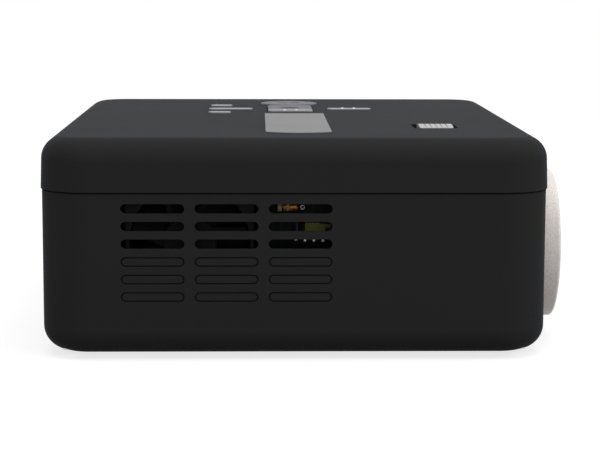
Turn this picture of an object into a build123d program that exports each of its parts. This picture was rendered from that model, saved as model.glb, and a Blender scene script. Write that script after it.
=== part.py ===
from build123d import *
import math
import os

# A table-top projector with a disc player in the same casing.
# +X is the lens side, -Y the air inlet side, +Z up.  The origin is on the table, under the
# middle of the whole object.  All sizes are in millimetres.

# ------------------------------------------------------------------ driving sizes: casing
BODY_LENGTH = 200.0        # rear to front, along X
BODY_WIDTH = 240.0         # inlet side to far side, along Y
BODY_HEIGHT = 85.0         # casing alone, without its feet
FOOT_HEIGHT = 2.0
FOOT_R = 7.0
FOOT_INSET = 25.0          # from the casing's sides to a foot's centre
WALL = 2.5
CORNER_R = 19.5            # corners seen from above
TOP_R = 9.0                # rounding of the top edge
BOTTOM_R = 9.5             # rounding of the bottom edge
SEAM_HEIGHT = 64.3         # from the casing's underside to the joint between the shells
SEAM_GAP = 0.6             # shadow line between the shells
OVERHANG = 0.5             # the upper shell stands out over the lower one
UPPER_DRAFT = 1.7          # degrees
TONGUE_HEIGHT = 2.5
TONGUE_SET = 1.3           # from the lower shell's outer face to its tongue
SCREW_POST_R = 4.0
SCREW_POST_INSET = 11.0
SCREW_R = 1.4
SCREW_HEAD_R = 2.8
SCREW_HEAD_THICK = 2.2
SCREW_GRIP = 10.0          # screw's length in the upper shell's post
SCREW_HEAD_DEEP = 3.0      # a screw head's seat above the casing's underside
STAND_R = 3.0
LOADER_POST_R = 3.2
TRIPOD_R = 4.6
TRIPOD_BORE_R = 3.175
TRIPOD_DEPTH = 9.0
TRIPOD_END = 1.5           # closed end of the bush
TRIPOD_BOSS_R = 7.5
TRIPOD_FROM_FRONT = 28.0
TRIPOD_FROM_TRAY = 16.0    # from the tray's inner side

# ------------------------------------------------------------------ named clearances
SLIP = 0.1                 # between mating rigid pieces of one body
RUNNING = 0.05             # on the radius of a running shaft
FREE = 0.3                 # between moving faces
REVEAL = 0.6               # round the tray's front in its opening
KEY_GAP = 0.35             # round a key in its opening
BAY_GAP = 5.0              # between the optics housing and the disc tray
SIDE_GAP = 0.6             # between the tray's sides and the loader's walls
BOARD_GAP = 4.0            # between two boards
CUT = 1.0                  # how far a cutting shape reaches past the piece it cuts
ROOT = 0.5                 # how far a rib or pin runs into the piece that carries it

# ------------------------------------------------------------------ driving sizes: air inlet
VENT_COLUMNS = 3
VENT_OPEN_ROWS = 3         # upper rows go right through
VENT_BLIND_ROWS = 3        # lower rows are only grooved outlines
VENT_LENGTH = 24.8
VENT_HEIGHT = 3.9
VENT_COLUMN_PITCH = 28.75
VENT_ROW_PITCH = 6.9
VENT_TOP_ROW_Z = 57.9      # top row's middle above the casing's underside
VENT_FIRST_COLUMN = 44.5   # first column's middle from the rear face
VENT_GROOVE_WIDTH = 0.6
VENT_GROOVE_DEEP = 0.9
EXHAUST_ROWS = 6
INTAKE_SLOTS = 5
INTAKE_PITCH = 6.0
INTAKE_FROM_SIDE = 20.0
INTAKE_WIDTH = 3.0
EXHAUST_RISE = 10.0        # first row's middle above the heat sink's underside
GRILLE_SLOTS = 5
GRILLE_R = 12.0
GRILLE_PITCH = 5.0
GRILLE_WIDTH = 2.4

# ------------------------------------------------------------------ driving sizes: light engine
AXIS_FROM_SIDE = 63.0      # optical axis from the inlet side
AXIS_HEIGHT = 36.0         # optical axis above the casing's underside
RING_R = 31.0
RING_BORE_R = 27.0
RING_PROUD = 9.0           # lens ring in front of the lower shell
RING_EDGE = 1.2
SPIGOT_R = 28.9
BARREL_R = 25.0
BARREL_LENGTH = 48.0
BARREL_WALL = 2.6
BARREL_REST = 3.0          # left behind the barrel at the end of its travel
SLEEVE_WALL = 2.6
SLEEVE_FLANGE = 3.0
OPTICS_FROM_FRONT = 52.0   # front of the optics housing behind the front face
OPTICS_LENGTH = 96.0
OPTICS_WIDTH = 56.0
OPTICS_RISE = 31.5         # half the height of the optics housing
OPTICS_WALL = 2.5
COVER_THICK = 2.0
RIB_THICK = 1.5            # ribs that hold the flat optics
LED_THICK = 3.5
LED_DOME_R = 4.2
CONDENSER_R = 20.0
CONDENSER_THICK = 4.0
CONDENSER_FROM_LED = 10.0
SINK_FROM_REAR = 12.5
SINK_BASE = 4.0
SINK_FINS = 10
SINK_FIN_THICK = 1.6
FOCUS_WELL_LENGTH = 18.4   # the shallow well in the lid that the knob slides in
FOCUS_WELL_WIDTH = 20.0
FOCUS_WELL_DEEP = 1.6
FOCUS_WELL_CORNER = 1.8
FOCUS_WELL_FROM_FRONT = 40.6
FOCUS_KNOB_LENGTH = 14.0
FOCUS_KNOB_WIDTH = 18.8
FOCUS_KNOB_PROUD = 0.8
FOCUS_KNOB_OFFSET = 0.3    # knob's place in its well at rest, towards the front
FOCUS_KNOB_GROOVES = 5
FOCUS_GROOVE_PITCH = 2.2
FOCUS_GROOVE_WIDTH = 0.5
FOCUS_GROOVE_DEEP = 0.3
FOCUS_BLADE_LENGTH = 6.0
FOCUS_BLADE_THICK = 3.0
FOCUS_FORWARD = 1.5
FOCUS_BACK = 2.1

# ------------------------------------------------------------------ driving sizes: fan, boards
FAN_SIZE = 50.0
FAN_THICK = 15.0
FAN_BORE_R = 23.6
FAN_HUB_R = 10.5
FAN_BLADES = 7
FAN_HEIGHT = 44.0          # fan's middle above the casing's underside
FAN_CORNER = 5.0           # fan's screw holes from its corners
BOARD_THICK = 1.6
STANDOFF = 3.5
STAND_INSET = 5.0          # a stand-off's middle from the board's edges
DRIVER_LENGTH = 58.0
DRIVER_HEIGHT = 48.0
DRIVER_LIFT = 14.0         # driver board's lower edge above the casing's underside
DRIVER_FROM_OPTICS = 11.0  # between the driver board and the optics housing
DRIVER_FROM_FAN = 3.0
MAIN_BOARD_FROM_REAR = 4.0
POWER_BOARD_FROM_REAR = 6.0
POWER_BOARD_FROM_SPEAKER = 14.0
POWER_BOARD_WIDTH = 41.0
POWER_BOARD_FROM_FAR = 25.0
SPEAKER_R = 18.0
SPEAKER_DEPTH = 15.0
SPEAKER_FROM_FRONT = 28.0
SPEAKER_FROM_FAR = 60.0
HDMI_SIZE = (15.0, 6.4)
USB_SIZE = (14.4, 7.2)
SOCKET_SKIN = 0.7
JACK_R = 3.2
JACK_BORE_R = 1.8
JACK_WIDTH = 8.0
INLET_SIZE = (19.0, 12.0)
INLET_FROM_EDGE = 15.0     # mains inlet's middle from the power board's far edge

# ------------------------------------------------------------------ driving sizes: disc loader
TRAY_MARGIN = 20.0         # between the tray and the casing's far side
TRAY_LIP = 1.25            # narrowest rim beside the disc
TRAY_FRONT_LIP = 3.25      # rim between the disc and the tray's front
TRAY_LENGTH = 159.5
TRAY_FLOOR = 2.0
TRAY_RIM = 3.9             # rim above the tray's floor
TRAY_HEIGHT = 46.0         # underside of the tray above the casing's underside
TRAY_TRAVEL = 128.0
SMALL_POCKET_R = 41.0
SMALL_POCKET_DEEP = 0.8
SLOT_HALF_WIDTH = 22.0
SLOT_BEHIND_DISC = 21.0    # the tray's slot begins this far behind the disc's middle
BEZEL_OVERHANG = 0.5       # tray's front beyond the tray, each side
BEZEL_HEIGHT = 16.0
BEZEL_DROP = 6.0
MODULE = 1.0
PRESSURE_ANGLE = 20.0
BACKLASH = 0.2
DEDENDUM = 1.25 * MODULE
PINION_TEETH = 16
WHEEL_TEETH = 30
IDLER_TEETH = 12
RACK_INSET = 8.0           # rack's pitch line from the tray's inner side
RACK_BAR = 3.5             # the rack's width behind its teeth
RACK_DROP = 5.2            # rack's underside below the tray
PULLEY_R = 12.0
MOTOR_PULLEY_R = 4.0
PULLEY_FLANGE = 1.2
BELT_RUN = 50.0            # between the two pulleys' axes
BELT_THICK = 1.6
GEAR_FROM_REAR = 22.0
LOADER_MOTOR_R = 10.0
LOADER_MOTOR_FLAT = 7.5
LOADER_MOTOR_DEPTH = 8.0
CHASSIS_THICK = 2.0
CHASSIS_FROM_REAR = 6.0
CHASSIS_BORDER = 12.0      # chassis beyond the deck's hinge
CHASSIS_WALL = 2.0
RAIL_REACH = 3.0           # tray rails inwards from the loader's walls
CHASSIS_DROP = 16.0        # chassis top below the tray
DECK_LENGTH = 102.5
DECK_WIDTH = 62.0
DECK_BEHIND_DISC = 15.0    # deck's rear end behind the disc's middle
DECK_END_BAR = 14.0        # solid bar at the deck's hinge end
DECK_WELL_HALF = 17.0
TURNTABLE_R = 15.0
SPINDLE_R = 1.0
SPINDLE_MOTOR_R = 9.0
ROD_R = 1.5
ROD_HALF_GAP = 20.0        # guide rods from the disc's middle line
ROD_START = 10.5           # rods' rear posts from the disc's middle
PICKUP_START = 13.0        # pickup's rear end from the disc's middle
PICKUP_LENGTH = 20.0
PICKUP_STOP = 7.0          # left before the rods' front posts at the end of the travel
PICKUP_LENS_R = 3.5
LEAD_SCREW_OFFSET = 27.3   # lead screw from the disc's middle line
LEAD_SCREW_R = 1.4
LEAD_SCREW_PITCH = 3.0
SLED_MOTOR_R = 3.3
SLED_MOTOR_LENGTH = 10.0
PUCK_R = 12.0
BRIDGE_HALF = 20.0

# ------------------------------------------------------------------ driving sizes: top controls
KEY_PROUD = 0.8
KEY_TRAVEL = 0.6
KEY_EDGE = 0.5
KEY_FLANGE = 0.9           # a key's hidden rim, wider than its cap
KEY_STEM_R = 1.8
FLANGE_THICK = 1.6
DIMPLE_R = 4.2
DIMPLE_DEEP = 0.9
DISH_R = 20.0
DISH_DEEP = 0.5
PIP_R = 0.8
PIP_PROUD = 0.4
POWER_KEY_R = 13.7
POWER_KEY_GAP = 2.1        # between the keypad's opening and the power key
SIDE_KEY_SET = 2.0         # side keys' middles nearer than the keypad's middle
PAD_KEY_WIDTH = 20.7
PAD_KEY_LENGTH = 11.45
PAD_CORNER = 2.0
SIDE_KEY_WIDTH = 20.5
SIDE_KEY_LENGTH = 4.2
SMALL_KEY_WIDTH = 10.4
SMALL_KEY_LENGTH = 4.2
SIDE_KEY_SPREAD = 27.7     # side keys' middles from the keypad's middle
SMALL_KEY_SPREAD = 32.4
SMALL_KEY_STEP = 21.6      # along Y, from the side keys to the small keys
KEYPAD_X = 0.5             # keypad's middle line along X
KEYPAD_FROM_FAR_SIDE = 81.4
KEY_BOARD_HALF = 43.0
KEY_BOARD_NEAR = 41.0
KEY_BOARD_FAR = 57.0
PLATE_X = 1.9              # badge plate's middle line along X
PLATE_LENGTH = 26.7
PLATE_FROM_SIDE = 31.4
PLATE_FROM_KEYPAD = 11.3
PLATE_BOW = 5.0
PLATE_THICK = 0.8
PLATE_PROUD = 0.4

# ------------------------------------------------------------------ places that follow: casing
FRONT_X = BODY_LENGTH / 2
REAR_X = -BODY_LENGTH / 2
INLET_Y = -BODY_WIDTH / 2
FAR_Y = BODY_WIDTH / 2
BASE_Z = FOOT_HEIGHT
FLOOR_Z = BASE_Z + WALL
TOP_Z = BASE_Z + BODY_HEIGHT
CEILING_Z = TOP_Z - WALL
SEAM_Z = BASE_Z + SEAM_HEIGHT
ROOT_Z = FLOOR_Z - CUT
SHIFT_X = -(RING_PROUD - OVERHANG) / 2
SCREW_POST_TOP_Z = SEAM_Z - 2.3
SCREW_HEAD_Z = BASE_Z + SCREW_HEAD_DEEP
REAR_WALL = (REAR_X - CUT, REAR_X + WALL + CUT)

# ------------------------------------------------------------------ places that follow: light engine
AXIS_Y = INLET_Y + AXIS_FROM_SIDE
AXIS_Z = BASE_Z + AXIS_HEIGHT
SEAT_X = FRONT_X + OVERHANG
OPTICS_FRONT_X = FRONT_X - OPTICS_FROM_FRONT
OPTICS_REAR_X = OPTICS_FRONT_X - OPTICS_LENGTH
OPTICS_LOW_Z = AXIS_Z - OPTICS_RISE
OPTICS_HIGH_Z = AXIS_Z + OPTICS_RISE
OPTICS_Y = (AXIS_Y - OPTICS_WIDTH / 2, AXIS_Y + OPTICS_WIDTH / 2)
CHAMBER_Y = (OPTICS_Y[0] + OPTICS_WALL, OPTICS_Y[1] - OPTICS_WALL)
CHAMBER_Z = (OPTICS_LOW_Z + OPTICS_WALL, OPTICS_HIGH_Z)
LED_X = OPTICS_REAR_X - LED_THICK
SINK_X = (REAR_X + SINK_FROM_REAR, LED_X)
SINK_LOW_Z = OPTICS_LOW_Z + 3.0
SINK_HIGH_Z = OPTICS_HIGH_Z - 3.0
SLEEVE_BORE_R = BARREL_R + SLIP
SLEEVE_R = SLEEVE_BORE_R + SLEEVE_WALL
SLEEVE_X = (OPTICS_FRONT_X, FRONT_X - WALL - 0.5)
BARREL_X = (SLEEVE_X[0] + FOCUS_BACK + BARREL_REST, SLEEVE_X[0] + FOCUS_BACK + BARREL_REST + BARREL_LENGTH)
BARREL_BORE_R = BARREL_R - BARREL_WALL
FOCUS_X = FRONT_X - FOCUS_WELL_FROM_FRONT
KNOB_MIDDLE_X = FOCUS_X + FOCUS_KNOB_OFFSET
KNOB_X = (KNOB_MIDDLE_X - FOCUS_KNOB_LENGTH / 2, KNOB_MIDDLE_X + FOCUS_KNOB_LENGTH / 2)
LEVER_X = (KNOB_MIDDLE_X - FOCUS_BLADE_LENGTH / 2, KNOB_MIDDLE_X + FOCUS_BLADE_LENGTH / 2)
LEVER_PATH_HALF = FOCUS_BLADE_THICK / 2 + FREE
LEVER_PATH_X = (LEVER_X[0] - FOCUS_BACK - FREE, LEVER_X[1] + FOCUS_FORWARD + FREE)
LEVER_FOOT_Z = AXIS_Z + BARREL_BORE_R + 1.2
WELL_FLOOR_Z = TOP_Z - FOCUS_WELL_DEEP
KNOB_Z = (WELL_FLOOR_Z + FREE, TOP_Z + FOCUS_KNOB_PROUD)

# name: rear face along X, thickness
FLAT_OPTICS = {
    "collimator": (OPTICS_REAR_X + 30.0, 2.0),
    "panel": (OPTICS_REAR_X + 46.0, 3.0),
    "collector": (OPTICS_REAR_X + 58.0, 2.0),
}

# ------------------------------------------------------------------ places that follow: disc loader
TRAY_SIDES = (OPTICS_Y[1] + BAY_GAP, FAR_Y - TRAY_MARGIN)
TRAY_WIDTH = TRAY_SIDES[1] - TRAY_SIDES[0]
TRAY_Y = (TRAY_SIDES[0] + TRAY_SIDES[1]) / 2
TRAY_Z = BASE_Z + TRAY_HEIGHT
TRAY_FLOOR_Z = TRAY_Z + TRAY_FLOOR
TRAY_RIM_Z = TRAY_FLOOR_Z + TRAY_RIM
TRAY_X = (REAR_X + WALL, REAR_X + WALL + TRAY_LENGTH)
POCKET_R = TRAY_WIDTH / 2 - TRAY_LIP
DISC_X = TRAY_X[0] + TRAY_FRONT_LIP + POCKET_R
BEZEL_Y = (TRAY_SIDES[0] - BEZEL_OVERHANG, TRAY_SIDES[1] + BEZEL_OVERHANG)
BEZEL_Z = (TRAY_Z - BEZEL_DROP, TRAY_Z - BEZEL_DROP + BEZEL_HEIGHT)
PINION_R = MODULE * PINION_TEETH / 2
WHEEL_R = MODULE * WHEEL_TEETH / 2
IDLER_R = MODULE * IDLER_TEETH / 2
RACK_Y = TRAY_SIDES[0] + RACK_INSET
GEAR_X = REAR_X + GEAR_FROM_REAR
GEAR_Y = RACK_Y + PINION_R
IDLER_Y = GEAR_Y + WHEEL_R + IDLER_R
MOTOR_Y = IDLER_Y + BELT_RUN
DECK_X = (DISC_X - DECK_BEHIND_DISC, DISC_X - DECK_BEHIND_DISC + DECK_LENGTH)
DECK_SIDES = (TRAY_Y - DECK_WIDTH / 2, TRAY_Y + DECK_WIDTH / 2)
CHASSIS_X = (REAR_X + CHASSIS_FROM_REAR, DECK_X[1] + CHASSIS_BORDER)
CHASSIS_TOP_Z = TRAY_Z - CHASSIS_DROP
CHASSIS_Z = CHASSIS_TOP_Z - CHASSIS_THICK
CHASSIS_WALL_TOP = TRAY_RIM_Z + 2.1
RAIL_Z = TRAY_Z - FREE
WALLS_X = (CHASSIS_X[0] + 10.0, CHASSIS_X[1] - 6.0)
WHEEL_Z = (CHASSIS_TOP_Z + 2.0, CHASSIS_TOP_Z + 5.5)
PULLEY_Z = (CHASSIS_TOP_Z + 6.5, CHASSIS_TOP_Z + 9.1)
BELT_Z = (PULLEY_Z[0] + PULLEY_Z[1]) / 2
PINION_Z = (TRAY_Z - 5.0, TRAY_Z - 1.0)
DECK_Z = (CHASSIS_TOP_Z + 4.0, CHASSIS_TOP_Z + 6.0)
HINGE_X = DECK_X[1]
HINGE_Z = (DECK_Z[0] + DECK_Z[1]) / 2
ROD_Z = DECK_Z[1] + 4.0
ROD_YS = (TRAY_Y - ROD_HALF_GAP, TRAY_Y + ROD_HALF_GAP)
ROD_ENDS = (DISC_X + ROD_START, DECK_X[1] - DECK_END_BAR + 0.5)
PICKUP_X = (DISC_X + PICKUP_START, DISC_X + PICKUP_START + PICKUP_LENGTH)
PICKUP_TRAVEL = ROD_ENDS[1] - PICKUP_STOP - PICKUP_X[1]
SCREW_LINE_Y = TRAY_Y + LEAD_SCREW_OFFSET
SLED_MOTOR_X = (ROD_ENDS[1] - 2.0 - SLED_MOTOR_LENGTH, ROD_ENDS[1] - 2.0)
TURNTABLE_Z = (TRAY_Z, TRAY_FLOOR_Z + 1.5)
BRIDGE_Z = (CHASSIS_WALL_TOP + 2.0, CHASSIS_WALL_TOP + 3.5)
LOADER_POSTS = [(x, y) for x in (CHASSIS_X[0] + 4.0, CHASSIS_X[1] - 3.0)
                for y in (TRAY_SIDES[0] + 1.0, TRAY_SIDES[1] - 1.0)]

# ------------------------------------------------------------------ places that follow: fan, boards
FAN_X = REAR_X + VENT_FIRST_COLUMN + VENT_COLUMN_PITCH / 2
FAN_Z = BASE_Z + FAN_HEIGHT
FAN_Y = (INLET_Y + WALL + FREE, INLET_Y + WALL + FREE + FAN_THICK)
BOARD_Z = FLOOR_Z + STANDOFF
BOARD_TOP_Z = BOARD_Z + BOARD_THICK
DRIVER_X = (FAN_X + FAN_SIZE / 2 + DRIVER_FROM_FAN, FAN_X + FAN_SIZE / 2 + DRIVER_FROM_FAN + DRIVER_LENGTH)
DRIVER_Y = (OPTICS_Y[0] - DRIVER_FROM_OPTICS - BOARD_THICK, OPTICS_Y[0] - DRIVER_FROM_OPTICS)
DRIVER_Z = (BASE_Z + DRIVER_LIFT, BASE_Z + DRIVER_LIFT + DRIVER_HEIGHT)
POWER_BOARD_Y = (FAR_Y - POWER_BOARD_FROM_FAR - POWER_BOARD_WIDTH, FAR_Y - POWER_BOARD_FROM_FAR)
MAIN_BOARD_X = (REAR_X + MAIN_BOARD_FROM_REAR, OPTICS_FRONT_X)
MAIN_BOARD_Y = (TRAY_SIDES[0] + 6.0, POWER_BOARD_Y[0] - BOARD_GAP)
SPEAKER_X = FRONT_X - SPEAKER_FROM_FRONT
POWER_BOARD_X = (REAR_X + POWER_BOARD_FROM_REAR, SPEAKER_X - SPEAKER_R - POWER_BOARD_FROM_SPEAKER)
SPEAKER_Y = FAR_Y - SPEAKER_FROM_FAR
TRIPOD_X = FRONT_X - TRIPOD_FROM_FRONT
TRIPOD_Y = TRAY_SIDES[0] + TRIPOD_FROM_TRAY
SOCKET_Z = BOARD_TOP_Z
SOCKET_WIDTHS = HDMI_SIZE[0] + USB_SIZE[0] + JACK_WIDTH
SOCKET_GAP = (MAIN_BOARD_Y[1] - MAIN_BOARD_Y[0] - SOCKET_WIDTHS) / 4
HDMI_Y = MAIN_BOARD_Y[0] + SOCKET_GAP + HDMI_SIZE[0] / 2
USB_Y = HDMI_Y + HDMI_SIZE[0] / 2 + SOCKET_GAP + USB_SIZE[0] / 2
JACK_Y = USB_Y + USB_SIZE[0] / 2 + SOCKET_GAP + JACK_WIDTH / 2
AC_Y = POWER_BOARD_Y[1] - INLET_FROM_EDGE
AC_Z = SOCKET_Z + INLET_SIZE[1] / 2

# ------------------------------------------------------------------ places that follow: top controls
KEYPAD_Y = FAR_Y - KEYPAD_FROM_FAR_SIDE
KEY_TOP_Z = TOP_Z + KEY_PROUD
FLANGE_TOP_Z = CEILING_Z - FREE
STEM_Z = FLANGE_TOP_Z - FLANGE_THICK - 2.4
SWITCH_TOP_Z = STEM_Z - KEY_TRAVEL - 0.2
KEY_BOARD_TOP_Z = SWITCH_TOP_Z - 0.8
KEY_BOARD_Z = KEY_BOARD_TOP_Z - BOARD_THICK
KEY_BOARD_X = (KEYPAD_X - KEY_BOARD_HALF, KEYPAD_X + KEY_BOARD_HALF)
KEY_BOARD_Y = (KEYPAD_Y - KEY_BOARD_NEAR, KEYPAD_Y + KEY_BOARD_FAR)
PAD_STEP = PAD_KEY_LENGTH + KEY_GAP
PAD_HALF = 1.5 * PAD_KEY_LENGTH + 2 * KEY_GAP
SIDE_KEY_Y = KEYPAD_Y - SIDE_KEY_SET
POWER_KEY_Y = KEYPAD_Y + PAD_HALF + POWER_KEY_R + POWER_KEY_GAP
PLATE_Y = (INLET_Y + PLATE_FROM_SIDE, KEYPAD_Y - PAD_HALF - PLATE_FROM_KEYPAD)

# name: outline, middle along X, middle along Y, length along X, length along Y
KEYS = {
    "power_key": ("round", KEYPAD_X, POWER_KEY_Y, 2 * POWER_KEY_R, 2 * POWER_KEY_R),
    "up_key": ("pad", KEYPAD_X, KEYPAD_Y + PAD_STEP, PAD_KEY_WIDTH, PAD_KEY_LENGTH),
    "ok_key": ("pad", KEYPAD_X, KEYPAD_Y, PAD_KEY_WIDTH, PAD_KEY_LENGTH),
    "down_key": ("pad", KEYPAD_X, KEYPAD_Y - PAD_STEP, PAD_KEY_WIDTH, PAD_KEY_LENGTH),
    "left_key": ("oval", KEYPAD_X - SIDE_KEY_SPREAD, SIDE_KEY_Y, SIDE_KEY_WIDTH, SIDE_KEY_LENGTH),
    "right_key": ("oval", KEYPAD_X + SIDE_KEY_SPREAD, SIDE_KEY_Y, SIDE_KEY_WIDTH, SIDE_KEY_LENGTH),
    "menu_key": ("oval", KEYPAD_X - SMALL_KEY_SPREAD, SIDE_KEY_Y + SMALL_KEY_STEP,
                 SMALL_KEY_WIDTH, SMALL_KEY_LENGTH),
    "source_key": ("oval", KEYPAD_X - SMALL_KEY_SPREAD, SIDE_KEY_Y - SMALL_KEY_STEP,
                   SMALL_KEY_WIDTH, SMALL_KEY_LENGTH),
}


# ------------------------------------------------------------------ small helpers
def block(x, y, z):
    """A plain block between two planes on each axis."""
    middle = ((x[0] + x[1]) / 2, (y[0] + y[1]) / 2, (z[0] + z[1]) / 2)
    return Pos(*middle) * Box(x[1] - x[0], y[1] - y[0], z[1] - z[0])


def plate(x, y, z, corner):
    """A flat plate with rounded upright corners."""
    plan = RectangleRounded(x[1] - x[0], y[1] - y[0], corner)
    return extrude(Pos((x[0] + x[1]) / 2, (y[0] + y[1]) / 2, z[0]) * plan, amount=z[1] - z[0])


def bar_x(radius, x, at_y, at_z):
    """A round bar along X."""
    return Pos((x[0] + x[1]) / 2, at_y, at_z) * Rot(0, 90, 0) * Cylinder(radius, x[1] - x[0])


def bar_y(radius, at_x, y, at_z):
    """A round bar along Y."""
    return Pos(at_x, (y[0] + y[1]) / 2, at_z) * Rot(90, 0, 0) * Cylinder(radius, y[1] - y[0])


def bar_z(radius, at_x, at_y, z):
    """An upright round bar."""
    return Pos(at_x, at_y, (z[0] + z[1]) / 2) * Cylinder(radius, z[1] - z[0])


def slot_through_y(at_x, y, at_z, length, height):
    """A round-ended slot cut along Y, with its length along X."""
    outline = Pos(at_x, (y[0] + y[1]) / 2, at_z) * Rot(90, 0, 0) * SlotOverall(length, height)
    return extrude(outline, amount=(y[1] - y[0]) / 2, both=True)


def slot_through_x(x, at_y, at_z, length, height):
    """A round-ended slot cut along X, with its length along Y."""
    outline = Pos((x[0] + x[1]) / 2, at_y, at_z) * Rot(0, 90, 0) * Rot(0, 0, 90)
    return extrude(outline * SlotOverall(length, height), amount=(x[1] - x[0]) / 2, both=True)


def slot_through_z(at_x, at_y, z, length, width):
    """A round-ended slot cut along Z, with its length along X."""
    outline = Pos(at_x, at_y, z[0]) * SlotOverall(length, width)
    return extrude(outline, amount=z[1] - z[0])


def group(shapes):
    """Separate solids kept together under one name."""
    return Compound([solid for shape in shapes for solid in shape.solids()])


def mirrored_pairs(half_x, half_y):
    """The four corners of a rectangle about the middle."""
    return [(sx * half_x, sy * half_y) for sx in (-1, 1) for sy in (-1, 1)]


def casing_plan(inset):
    """The lower shell's outline seen from above, drawn in by an inset."""
    return RectangleRounded(BODY_LENGTH - 2 * inset, BODY_WIDTH - 2 * inset, CORNER_R - inset)


def lower_form(inset, z_top):
    """The lower half of the casing as a solid, drawn in at its sides and floor."""
    z_low = BASE_Z + inset
    form = extrude(Pos(0, 0, z_low) * casing_plan(inset), amount=z_top - z_low)
    return fillet(form.faces().sort_by(Axis.Z)[0].edges(), BOTTOM_R - inset)


def upper_form(inset):
    """The upper half of the casing as a solid, drawn in at its sides and top."""
    plan = Pos(0, 0, SEAM_Z) * casing_plan(inset - OVERHANG)
    form = extrude(plan, amount=TOP_Z - inset - SEAM_Z, taper=UPPER_DRAFT)
    return fillet(form.faces().sort_by(Axis.Z)[-1].edges(), TOP_R - inset)


# ------------------------------------------------------------------ casing
SCREW_POSTS = mirrored_pairs(FRONT_X - SCREW_POST_INSET, FAR_Y - SCREW_POST_INSET)


def board_stands(board_x, board_y):
    """Four places for stand-offs under a flat board, near its corners."""
    xs = (board_x[0] + STAND_INSET, board_x[1] - STAND_INSET)
    ys = (board_y[0] + STAND_INSET, board_y[1] - STAND_INSET)
    return [(x, y) for x in xs for y in ys]


def vent_places(first_row, rows):
    """Middles of the air inlet's slots, as pairs of X and Z."""
    top_z = BASE_Z + VENT_TOP_ROW_Z
    return [(REAR_X + VENT_FIRST_COLUMN + column * VENT_COLUMN_PITCH, top_z - row * VENT_ROW_PITCH)
            for column in range(VENT_COLUMNS) for row in range(first_row, first_row + rows)]


def vent_cuts():
    """Open slots above and grooved slot outlines below, on the inlet side."""
    through = (INLET_Y - CUT, INLET_Y + WALL + CUT)
    groove = (INLET_Y - CUT, INLET_Y + VENT_GROOVE_DEEP)
    cuts = [slot_through_y(x, through, z, VENT_LENGTH, VENT_HEIGHT)
            for x, z in vent_places(0, VENT_OPEN_ROWS)]
    for x, z in vent_places(VENT_OPEN_ROWS, VENT_BLIND_ROWS):
        island = slot_through_y(x, groove, z, VENT_LENGTH - 2 * VENT_GROOVE_WIDTH,
                                VENT_HEIGHT - 2 * VENT_GROOVE_WIDTH)
        cuts.append(slot_through_y(x, groove, z, VENT_LENGTH, VENT_HEIGHT) - island)
    return cuts


def exhaust_cuts():
    """Warm air leaves through rows of slots in the rear wall, behind the heat sink."""
    first_z = SINK_LOW_Z + EXHAUST_RISE
    return [slot_through_x(REAR_WALL, AXIS_Y + side * OPTICS_WIDTH / 4, first_z + row * VENT_ROW_PITCH,
                           VENT_LENGTH, VENT_HEIGHT)
            for side in (-1, 1) for row in range(EXHAUST_ROWS)]


def floor_cuts():
    """Intake slots under the fan and the speaker's grille."""
    floor = (BASE_Z - CUT, FLOOR_Z + CUT)
    cuts = [slot_through_z(FAN_X, INLET_Y + INTAKE_FROM_SIDE + row * INTAKE_PITCH, floor,
                           2 * VENT_LENGTH, INTAKE_WIDTH)
            for row in range(INTAKE_SLOTS)]
    for row in range(GRILLE_SLOTS):
        offset = (row - (GRILLE_SLOTS - 1) / 2) * GRILLE_PITCH
        chord = 2 * math.sqrt(GRILLE_R ** 2 - offset ** 2)
        cuts.append(slot_through_z(SPEAKER_X, SPEAKER_Y + offset, floor, chord, GRILLE_WIDTH))
    return cuts


def tray_opening():
    """The hole in the rear wall for the disc tray's front."""
    y = (BEZEL_Y[0] - REVEAL, BEZEL_Y[1] + REVEAL)
    z = (BEZEL_Z[0] - REVEAL, BEZEL_Z[1] + REVEAL)
    return block(REAR_WALL, y, z)


def socket_cuts():
    """Holes in the rear wall for the sockets."""
    def window(at_y, size):
        sides = (at_y - size[0] / 2 - SLIP, at_y + size[0] / 2 + SLIP)
        return block(REAR_WALL, sides, (SOCKET_Z - SLIP, SOCKET_Z + size[1] + SLIP))

    return [
        window(HDMI_Y, HDMI_SIZE),
        window(USB_Y, USB_SIZE),
        bar_x(JACK_R + SLIP, REAR_WALL, JACK_Y, SOCKET_Z + JACK_R),
        window(AC_Y, INLET_SIZE),
    ]


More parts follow.
